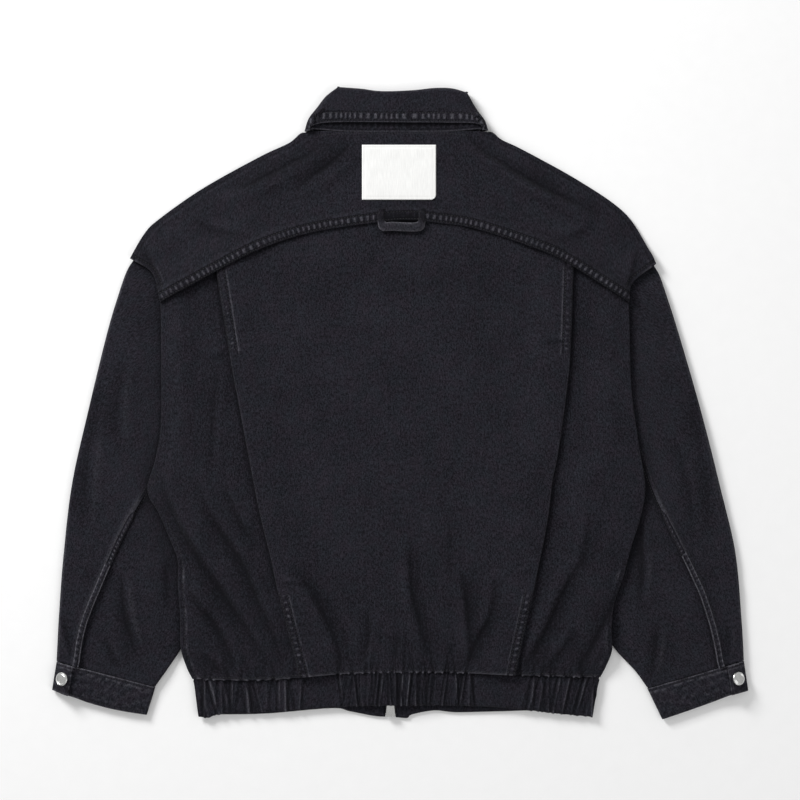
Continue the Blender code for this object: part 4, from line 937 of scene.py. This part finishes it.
def make_sleeve(side):
    sleeve, flip = Sleeve(side), side == "right"
    half, slit = SLEEVE_FELL / 2, SLEEVES[side]["placket"]
    ripple = pucker(sleeve.rows * SLEEVE_LENGTH, 52 if flip else 51, 6.5)
    lapped = smooth(3, 14, sleeve.clear)
    turns = (22, 45, 67, 90, 113, 135, 158)

    def marks(points):
        """The folds' painted highlights and shade on the upper side, and the distance from the
        body's edge.
        """
        upper = points[..., 2] > 2.5
        return toned(SLEEVE_FOLDS, points[..., :2]) * upper, outside_body(points[..., :2], side)

    top = [(sleeve.point("lower", share), 0.0) for share in np.linspace(0.75, 0, 14)]
    top += [(sleeve.point("outer", turn), 0.12) for turn in turns]
    start = sleeve.at_seam(-half - 9)
    top += [(sleeve.point("upper", share * start), 0.0) for share in np.linspace(0, 1, 66)]
    for shift in np.arange(-half - 8, half - 0.1, 0.8):
        band, row_at = hump(shift, half), sum(bell(shift - at, 0.8) for at in SLEEVE_ROWS)
        level = (WALL + LAP) * smooth(-half - 6, -half, shift)
        level = level + 0.35 * band * ripple - 0.3 * row_at
        # Felled seam: pale rubbed edges, paler puffs with painted shade in their dips, and painted
        # shade in the stitch-row grooves
        seam_paleness_and_shade = (band * (0.02 + 0.46 * ripple) + 0.42 * fade(shift - half, 1.2)
                + 0.36 * fade(shift + half, 1.2) - 0.9 * row_at)
        top.append((sleeve.point("upper", sleeve.at_seam(shift), level * lapped), seam_paleness_and_shade * lapped))
    points = np.stack([column for column, _ in top], 1)
    washed_and_painted_light = np.stack([np.broadcast_to(seam_paleness_and_shade, sleeve.rows.shape) for _, seam_paleness_and_shade in top], 1)
    tone, clear = marks(points)
    # Painted highlights and shade of the folds, and painted shadow cast by the body's edge on the
    # sleeve
    washed_and_painted_light = washed_and_painted_light + tone - 0.9 * fade(clear, 5) * (points[..., 2] > 2.5)
    points, washed_and_painted_light = rolled(points, washed_and_painted_light, "right", 1.6, 0.3, 3.0)
    cloth(f"top_sleeve_{side}", points, washed_and_painted_light, flip=flip, shift=(0.3, 0.1))

    first = sleeve.at_seam(half + 2)
    under = [sleeve.at_seam(shift) for shift in (-half + 0.6, 0, half + 1)]
    under += [first + (1 - first) * share for share in np.linspace(0, 1, 62)]
    under = [sleeve.point("upper", share) for share in under]
    under += [sleeve.point("inner", turn) for turn in turns]
    under += [sleeve.point("lower", share) for share in np.linspace(1, 0.752, 6)]
    points = np.stack(under, 1)
    tone, clear = marks(points)
    away = np.maximum(sleeve.seam.off(points[..., :2]) - half, 0)
    # Painted highlights and shade of the folds, painted shadow under the lapped felled seam and
    # painted shadow cast by the body's edge
    washed_and_painted_light = tone - 0.8 * fade(away, 3) - 0.9 * fade(clear, 8)
    cloth(f"under_sleeve_{side}", points, washed_and_painted_light, flip=flip, shift=(0.1, 0.4))

    on_placket = sleeve.rows <= slit
    open_slit = 1 - smooth(slit - 0.02, slit + 0.01, sleeve.rows)
    columns = []
    for shift in np.linspace(-half - 0.4, half - 1.0, 12):
        puffed = 0.25 * hump(shift + 0.7, half) * (1 + ripple) * open_slit
        level = 2 * WALL + 2 * LAP + 0.3 + puffed
        columns.append(sleeve.point("upper", sleeve.at_seam(shift), level)[on_placket])
    across = np.linspace(0, 1, 12)
    washed_and_painted_light = 0.02 + 0.42 * (across < 0.12) + 0.50 * (across > 0.86) - 0.7 * bell(across - 0.68, 0.11)
    washed_and_painted_light = washed_and_painted_light + 0.22 * ripple[on_placket][:, None] * (across < 0.86)
    points, washed_and_painted_light = rolled(np.stack(columns, 1), washed_and_painted_light, "left right top", 1.5, 0.3, 2)
    cloth(f"placket_{side}", points, washed_and_painted_light, flip=flip)


def make_cuff(side):
    """One doubled strip wound round the wrist, its tab snapped over its own end."""
    shape = SLEEVES[side]
    cuff = curve([(x, y - SEAM - 0.5) for x, y in shape["cuff"]])
    foot = shape["cuff_foot"]
    plan = patch(curve(foot), cuff, curve([foot[0], cuff(0.0)]), curve([foot[-1], cuff(1.0)]))
    rows = spread((0.12, 6), (0.88, 16), (1.0, 6))
    width = np.linalg.norm(plan(1.0, rows) - plan(0.0, rows), axis=1)
    lean = math.radians(TAB_LEAN)
    crest = (TAB_BEND * (1 - math.cos(math.pi / 2 - lean))
             + (TAB_HEIGHT - TAB_BEND * (1 + math.cos(lean))) / math.tan(lean))
    below = TAB_HEIGHT - DOUBLE - 0.8
    half = CUFF_HEIGHT / 2

    # The strip's path across the sleeve: distance from the outer edge, and height
    stops = [(crest - 4.5, below - 3.1), (crest + 0.6, below - 0.1), (21, below)]
    for share in np.linspace(0.24, 1.0, 14):
        stops.append((half + share * (width - 2 * half),
                      below + (CUFF_HEIGHT - below) * smooth(0.14, 0.42, share)))
    for t in np.radians(range(15, 180, 15)):
        stops.append((width - half * (1 - math.sin(t)), half + half * math.cos(t)))
    stops += [(half + share * (width - 2 * half), 0.1) for share in (1.0, 0.66, 0.33, 0.06)]
    for t in np.radians(range(0, 180 - int(TAB_LEAN) + 1, 15)):
        stops.append((TAB_BEND * (1 - math.sin(t)), TAB_BEND * (1 - math.cos(t)) + 0.1))
    stops += [(crest - 0.8, TAB_HEIGHT - 0.5), (crest + 1.2, TAB_HEIGHT), (19.8, TAB_HEIGHT)]
    path = np.stack([np.stack(np.broadcast_arrays(distance, height, rows)[:2], -1)
                     for distance, height in stops], 1)
    length = np.cumsum(np.linalg.norm(np.diff(path, axis=1), axis=2), 1)
    length = np.concatenate([np.zeros((len(rows), 1)), length], 1)
    points, shares = [], np.linspace(0, 1, 300)
    for i, v in enumerate(rows):
        distance, z = (np.interp(shares * length[i, -1], length[i], path[i, :, k]) for k in (0, 1))
        points.append(lift(plan(distance / width[i], v), z))
    points = np.stack(points)
    xy = points[..., :2]

    foot_rim, top_rim = rows[:, None] * CUFF_DEPTH, (1 - rows)[:, None] * CUFF_DEPTH
    rim, last = np.minimum(foot_rim, top_rim), (1 - shares) * length.mean(0)[-1]
    seams = bell(rim - 2.6, 0.8) + bell(last - 2.4, 0.8)
    form = 0.25 * rumple(xy, seed=61, height=1.0, wave=16) - 0.3 * seams
    form -= 0.45 * (1 - smooth(0, 1.6, rim))
    points[..., 2] += form * smooth(1.5, 4, points[..., 2])
    speckle = 0.5 + 0.5 * np.clip(rumple(xy, seed=62, height=1.2, wave=6), -1, 1)
    mottle = np.clip(rumple(xy, seed=63, height=1.5, wave=11), -1, 1)
    # Pale rubbed rims and seam edges, painted shade in the stitch-row grooves, and random speckle
    # and mottle
    washed_and_painted_light = 0.62 * fade(top_rim, 1.4) - 0.5 * bell(top_rim - 2.6, 0.8)
    washed_and_painted_light = washed_and_painted_light + 0.42 * bell(top_rim - 4.6, 1.0) * (0.4 + 0.6 * speckle)
    washed_and_painted_light += (0.42 * fade(foot_rim, 1.5) + 0.45 * fade(last, 1.4)) * speckle
    washed_and_painted_light += 0.16 * (speckle - 0.45) - 0.4 * bell(foot_rim - 2.9, 0.8)
    washed_and_painted_light += 0.07 * np.maximum(mottle, 0) - 0.25 * np.maximum(-mottle, 0)
    cloth(f"cuff_{side}", points, washed_and_painted_light, wall=2.2, flip=side == "right", shift=(0.2, 0.7))
    return plan


# ---- collar

# For each side: where it folds up, and the outer and the upper edge of its front
FALL_SIDES = {
    "left": ([(-105.2, 299), (-100.6, 313), (-91, 325.6), (-81.4, 337.7), (-67, 348.5)],
             [(-100, 255), (ZIP_X - 70, 205)], [(-44, 296), (ZIP_X - 6.5, 262)]),
    "right": ([(97.2, 300), (93.4, 311), (85.7, 321.5), (79.3, 332), (73, 343)],
              [(84, 255), (ZIP_X + 70, 205)], [(30, 296), (ZIP_X + 6.5, 262)]),
}
STAND_SIDES = {
    "left": ([(-102, 301.5), (-96, 313), (-86, 325), (-76, 336), (-64, 344)],
             [(-67, 273), (-40, 249), (ZIP_EDGE["left"], 238)],
             [(-42, 292), (ZIP_EDGE["left"], 258)]),
    "right": ([(93, 301.5), (88, 312), (80, 322), (73, 331), (66, 341)],
              [(54, 275), (27, 250), (ZIP_EDGE["right"], 238)],
              [(28, 292), (ZIP_EDGE["right"], 258)]),
}


def make_collar():
    wrap("collar_fall", FALL_SIDES,
         [(-97, 304), (-86, 307.4), (-60, 308.6), (0, 308.3), (50, 308), (80, 307.4), (90, 304.4)],
         [(-43, 346.2), (-20, 343.5), (13, 344.5), (38, 347), (57, 346.6)], 0.0, COLLAR_HEIGHT)
    wrap("collar_stand", STAND_SIDES, [(-60, 298.6), (-5, 298.2), (50, 298.6)],
         [(-43, 342), (-20, 339.3), (13, 340.3), (38, 342.8)], DOUBLE + LAP,
         COLLAR_HEIGHT - DOUBLE - LAP)


def wrap(name, sides, back_edge, back_fold, low, high):
    """A doubled strip, flat on the front, folded up at each side and flat across the back."""
    radius = (high - low) / 2
    fall = name == "collar_fall"
    rows = spread((0.5, 22), (1.0, 18))
    edges, ways, fronts, columns = {}, {}, {}, []

    def reach(v):
        """How far the side folds stand out: they grow flatter towards the top fold."""
        return radius * (1 - 0.86 * smooth(0.55, 1, v))[..., None]

    def fold_line(points, out):
        """Where a side starts to fold, and the way that the fold faces."""
        path = curve(points)
        span = np.array(points[-1], float) - np.array(points[0], float)
        square = np.array([-span[1], span[0]]) / np.hypot(*span) * out

        def way(v):
            v = np.asarray(v, float)[..., None]
            mixed = (1 - v) * np.array([-out, 0.0]) + v * square
            return mixed / np.linalg.norm(mixed, axis=-1)[..., None]
        return (lambda v: path(v) - reach(v) * way(v)), way

    for side, out in (("left", 1), ("right", -1)):
        points, outer, upper = sides[side]
        edge, ways[side] = fold_line(points, out)
        edges[side] = edge
        fronts[side] = patch(curve([edge(0.0), *outer]), curve([edge(1.0), *upper]), edge,
                             curve([outer[-1], upper[-1]]))
    ends = [[edges[side](v) for side in ("left", "right")] for v in (0.0, 1.0)]
    back = patch(curve([ends[0][0], *back_edge, ends[0][1]]),
                 curve([ends[1][0], *back_fold, ends[1][1]]), edges["left"], edges["right"])

    def fold_up(side, turns):
        for t in np.radians(turns):
            out = reach(rows) * math.sin(t) * ways[side](rows)
            columns.append(lift(edges[side](rows) + out, low + radius - radius * math.cos(t)))

    columns += [lift(fronts["left"](share, rows), low) for share in np.linspace(1, 0, 36)]
    fold_up("left", range(12, 180, 12))
    columns += [lift(back(share, rows), high) for share in np.linspace(0, 1, 170)]
    fold_up("right", range(168, 0, -12))
    columns += [lift(fronts["right"](share, rows), low) for share in np.linspace(0, 1, 36)]
    points = np.stack(columns, 1)
    xy, z = points[..., :2], points[..., 2]
    upper = smooth(low + radius, high, z)
    rim, far = rows[:, None] * COLLAR_DEPTH, (1 - rows[:, None]) * COLLAR_DEPTH
    seams = sum(bell(rim - at, 0.8) for at in COLLAR_ROWS)
    ripple = pucker(xy[..., 0], seed=72, pitch=6.8)
    hem = bell(rim - 6.5, 3.2, 4)
    z += upper * (0.22 * rumple(xy, seed=71, height=1.0, wave=30) * smooth(2, 8, rim)
                  - 0.32 * seams - 0.6 * (1 - smooth(0, 1.6, rim)) + 0.45 * hem * ripple)
    round_top = 1 - np.sqrt(np.clip(1 - (1 - np.clip(far / 4.5, 0, 1))**2, 0, 1))
    z -= upper * (high - low - 2 * DOUBLE if fall else 1.0) * round_top
    # Pale rubbed rims, painted shade in the stitch-row grooves, and a puckered hem with paler
    # puffs and painted shade between
    washed_and_painted_light = 0.55 * fade(rim, 1.3) + 0.26 * fade(far, 2.2) * (0.7 + 0.3 * ripple) - 0.9 * seams
    washed_and_painted_light += hem * (-0.55 + 1.00 * smooth(-0.7, 0.5, ripple)) + 0.03 * bell(rim - 22, 12) - 0.06
    # The stand, tucked under the fall, is darkened with painted shade
    if not fall:
        washed_and_painted_light -= 1.2 * smooth(2.5, 6.5, rim)
    cloth(name, points, washed_and_painted_light, wall=DOUBLE - 0.2, shift=(0.5, 0.9))


# ---- label, loop and zip

def make_label():
    low, high, corner = (-41.8, 223.3), (39.6, 283.8), 6
    u, v = grid(66, 50)
    x, y = low[0] + (high[0] - low[0]) * u, low[1] + (high[1] - low[1]) * v
    excess = np.hypot(np.maximum(x - high[0] + corner, 0), np.maximum(low[1] + corner - y, 0))
    excess = np.maximum(excess - corner, 0) * 0.75
    xy = np.stack([x - excess, y + excess], -1)
    rim = np.min([x - low[0], high[0] - x, y - low[1], high[1] - y], axis=0)
    z = back_top(xy) + total(YOKE_FOLDS, xy) + SEAM + 0.9 + rumple(xy, 81, 0.18, 36)
    z -= 0.35 * bell(rim - 2.6, 0.9) + 0.3 * (1 - smooth(0, 1.2, rim))
    cloth("back_label", lift(xy, z), wall=0.7, slot="label")


def make_loop():
    """The hanger loop: a flat strap, turned at two corners and sewn in the yoke seam."""
    left, right, foot, top, leg, bar = -24.2, 27.5, 188.6, 213.5, 7.4, 9.8

    def outline(inset, rise, radius):
        """A run down one leg, along the bar and up the other leg, its corners rounded."""
        x0, x1, y = left + inset, right - inset, foot + rise
        bend = [(radius * (1 - math.cos(t)), y + radius * (1 - math.sin(t)))
                for t in np.radians([8, 25, 45, 65, 82])]
        return curve([(x0, top), (x0 - 0.5, 205), *((x0 + a, b) for a, b in bend),
                      (-8, y + 0.5), (12, y - 0.4), *((x1 - a, b) for a, b in bend[::-1]),
                      (x1 + 0.6, 205), (x1, top)], 400)

    u, v = grid(150, 12)
    outer, inner = outline(0, 0, 7.5), outline(leg, bar, 3.0)
    xy = (1 - v)[..., None] * outer(u) + v[..., None] * inner(u)
    seat = back_top(np.array([0.0, 205.0])) + WALL + LAP + 0.35 + SEAM + 2.0
    from_middle = np.abs(2 * v - 1)
    z = seat - 1.3 * from_middle**3 + 0.3 * np.sin(u * 23) - 0.9 * smooth(199, 210, xy[..., 1])
    on_bar = 1 - smooth(foot + bar - 1, foot + bar + 4, xy[..., 1])
    # Painted shade on the legs, a painted highlight on the rounded crossbar, and paler strap rims
    washed_and_painted_light = -0.55 + 0.30 * from_middle**6 + on_bar * (0.62 + 0.34 * from_middle**4)
    cloth("hanger_loop", lift(xy, z), washed_and_painted_light, wall=1.5)


def make_teeth(finish):
    """The zip's chain: small chamfered blocks, by turns left and right of its middle."""
    pitch, (sx, sy, sz), cut = 2.6, (1.55, 0.95, 0.75), 0.75 * 0.35
    ring = [(sx - cut, sy), (sx, sy - cut), (sx, cut - sy), (sx - cut, -sy)]
    ring += [(-x, -y) for x, y in ring]
    levels = [(0.82, -sz), (1.0, cut - sz), (1.0, sz - cut), (0.82, sz)]
    block = np.array([(x * k, y * k, z) for k, z in levels for x, y in ring])
    faces = [[level + 8 + i, level + 8 + (i + 1) % 8, level + (i + 1) % 8, level + i]
             for level in (0, 8, 16) for i in range(8)]
    faces += [list(range(8)), list(range(31, 23, -1))]
    verts, all_faces = [], []
    for i in range(int((UPPER_SLIDER_Y - LOWER_SLIDER_Y) / pitch) + 1):
        y = LOWER_SLIDER_Y + pitch * i
        centre = (ZIP_X + (0.75 if i % 2 else -0.75), y, zip_height(y))
        verts += ((block + centre) * MM).tolist()
        all_faces += [[k + i * len(block) for k in face] for face in faces]
    made = add_mesh("zip_chain_teeth", verts, all_faces, finish)
    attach(made, "jacket")
    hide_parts("zip_chain")


def make_tape(side, way):
    u, v = grid(7, 140)
    foot, top, lap = LOWER_SLIDER_Y - 2.6, 229, 1.2
    y = foot + (top - foot) * v
    x = ZIP_X + way * (CHAIN_WIDTH / 2 + SEAM - lap + (TAPE_WIDTH + lap) * u)
    between_bands = 3.2 * (1 - smooth(-306, -298, y)) * smooth(0.1, 0.4, u)
    points = np.stack([x, y, zip_height(y) + 0.25 - between_bands], -1)
    cloth(f"zip_tape_{side}", points, wall=0.6, flip=way < 0, slot="zip_tape")


# ---- stitches

def top_surface():
    starts = np.cumsum([0] + [len(points) for points, _ in TOPS])
    quads = np.concatenate([quads + start for (_, quads), start in zip(TOPS, starts)])
    return BVHTree.FromPolygons(np.concatenate([points for points, _ in TOPS]).tolist(),
                                quads.tolist())


def sew(name, rows, finish):
    """Stitches along plan rows, each a small spindle lying on the cloth under it."""
    tree = top_surface()
    verts, faces = [], []
    for row in rows:
        at = np.concatenate([[0], np.cumsum(np.linalg.norm(np.diff(row, axis=0), axis=1))])
        for start in np.arange(0.3, at[-1] - STITCH, STITCH + STITCH_GAP):
            ends = []
            for share in (start, start + STITCH / 2, start + STITCH):
                x, y = (float(np.interp(share, at, row[:, k])) for k in (0, 1))
                hit, normal, _, _ = tree.ray_cast(Vector((x, y, 60)), Vector((0, 0, -1)))
                if hit is not None:
                    ends.append((hit, normal if normal.z > 0 else -normal))
            if len(ends) < 3 or (ends[0][0] - ends[2][0]).length > 2 * STITCH:
                continue
            (a, _), (m, up), (b, _) = ends
            side = up.normalized().cross((b - a).normalized()) * THREAD
            up, base = up.normalized(), len(verts)
            verts += [a - up * 0.1, m + side, m + up * THREAD * 0.9, m - side, b - up * 0.1]
            faces += [[base + k for k in face]
                      for face in ((0, 2, 1), (0, 3, 2), (4, 1, 2), (4, 2, 3))]
    made = add_mesh(name, [tuple(v * MM) for v in verts], faces, finish)
    made.data.shade_smooth()
    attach(made, "jacket")


def stitch_rows(cuffs):
    rows = [YOKE_LINE.beside(at) for at in YOKE_ROWS]
    for side, way in (("left", 1), ("right", -1)):
        rows += [TUCKS[side].beside(way * at, *run)
                 for at in TUCK_ROWS for run in ((0.01, 0.205), (0.79, 1.0))]
        seam = Line(SLEEVES[side]["seam"], 96)
        rows += [seam.beside(at, 0.02, 0.86) for at in SLEEVE_ROWS]
        rows += [cuffs[side](np.linspace(0.02, 0.97, 90), v) for v in (0.08, 0.92)]
        rows.append(cuffs[side](17.4 / 108, np.linspace(0.05, 0.95, 30)))
    rows.append(Line(SIDE["left"]).beside(-4.5, 0.0, 0.42))
    rows += [Line(YOKE_END["left"]).beside(-4.0), Line(YOKE_END["right"]).beside(4.0)]
    rows.append(HEM_LINE.beside(2.6))
    fall = Line([(-98, 306.5), (-93, 307), (-60, 308.6), (0, 308.3), (50, 308), (84, 307),
                 (92, 304.8)])
    rows += [fall.beside(COLLAR_ROWS[0]), fall.beside(COLLAR_ROWS[1], 0.02, 0.98)]
    rows.append(Line([(-90, 294), (-60, 296.4), (-5, 296.6), (50, 296.4), (78, 294)]).beside(0))
    return rows


# ---- stage

def make_camera():
    data = bpy.data.cameras.new("camera")
    data.lens, data.sensor_width, data.clip_end = LENS, SENSOR, 20
    made = add_object("camera", data)
    height = PICTURE_WIDTH * LENS / SENSOR + PICTURE_LEVEL
    made.location = (PICTURE_MIDDLE[0] * MM, PICTURE_MIDDLE[1] * MM, height * MM)
    bpy.context.scene.camera = made


def make_light(name, place, size, power):
    """A square light that faces the middle of the jacket."""
    data = bpy.data.lights.new(name, "AREA")
    data.shape, data.size, data.energy = "SQUARE", size, power
    made = add_object(name, data)
    made.location = place
    made.rotation_euler = (-Vector(place)).to_track_quat("-Z", "Y").to_euler()


def make_stage():
    floor = add_mesh("floor", [(-6, -6, 0), (6, -6, 0), (6, 6, 0), (-6, 6, 0)], [(0, 1, 2, 3)],
                     floor_paper())
    floor.location.z = -0.0008
    make_light("key", (-1.7, 1.9, 1.35), 0.9, 92)
    make_light("fill", (1.6, -1.2, 2.2), 1.8, 16)
    world = bpy.data.worlds.new("studio")
    world.use_nodes = True
    light = world.node_tree.nodes["Background"].inputs
    light["Color"].default_value, light["Strength"].default_value = (1, 1, 1, 1), 0.50
    bpy.context.scene.world = world
    bpy.context.scene.view_settings.view_transform = "Standard"


def main():
    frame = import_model()
    make_camera()
    make_stage()
    FINISHES.update(denim=washed_denim(), label=woven_label(), zip_tape=tape_cloth())
    make_back()
    make_yoke()
    make_back_band()
    for side in SLEEVES:
        make_front_band(side)
    cuffs = {}
    for side in SLEEVES:
        make_front(side)
        make_sleeve(side)
        cuffs[side] = make_cuff(side)
    make_collar()
    make_label()
    make_loop()
    make_teeth(metal("zip_teeth", (0.55, 0.54, 0.52), 0.3))
    make_tape("left", -1)
    make_tape("right", 1)
    steel = metal("blank_snap_steel", (0.72, 0.72, 0.71), 0.26)
    for name in ("snap_left", "snap_right", "zip_slider_lower", "zip_slider_lower_pull",
                 "zip_slider_upper", "zip_slider_upper_pull"):
        frame["nodes"][name].data.materials.clear()
        frame["nodes"][name].data.materials.append(steel)
    sew("topstitching", stitch_rows(cuffs), thread_black())


main()
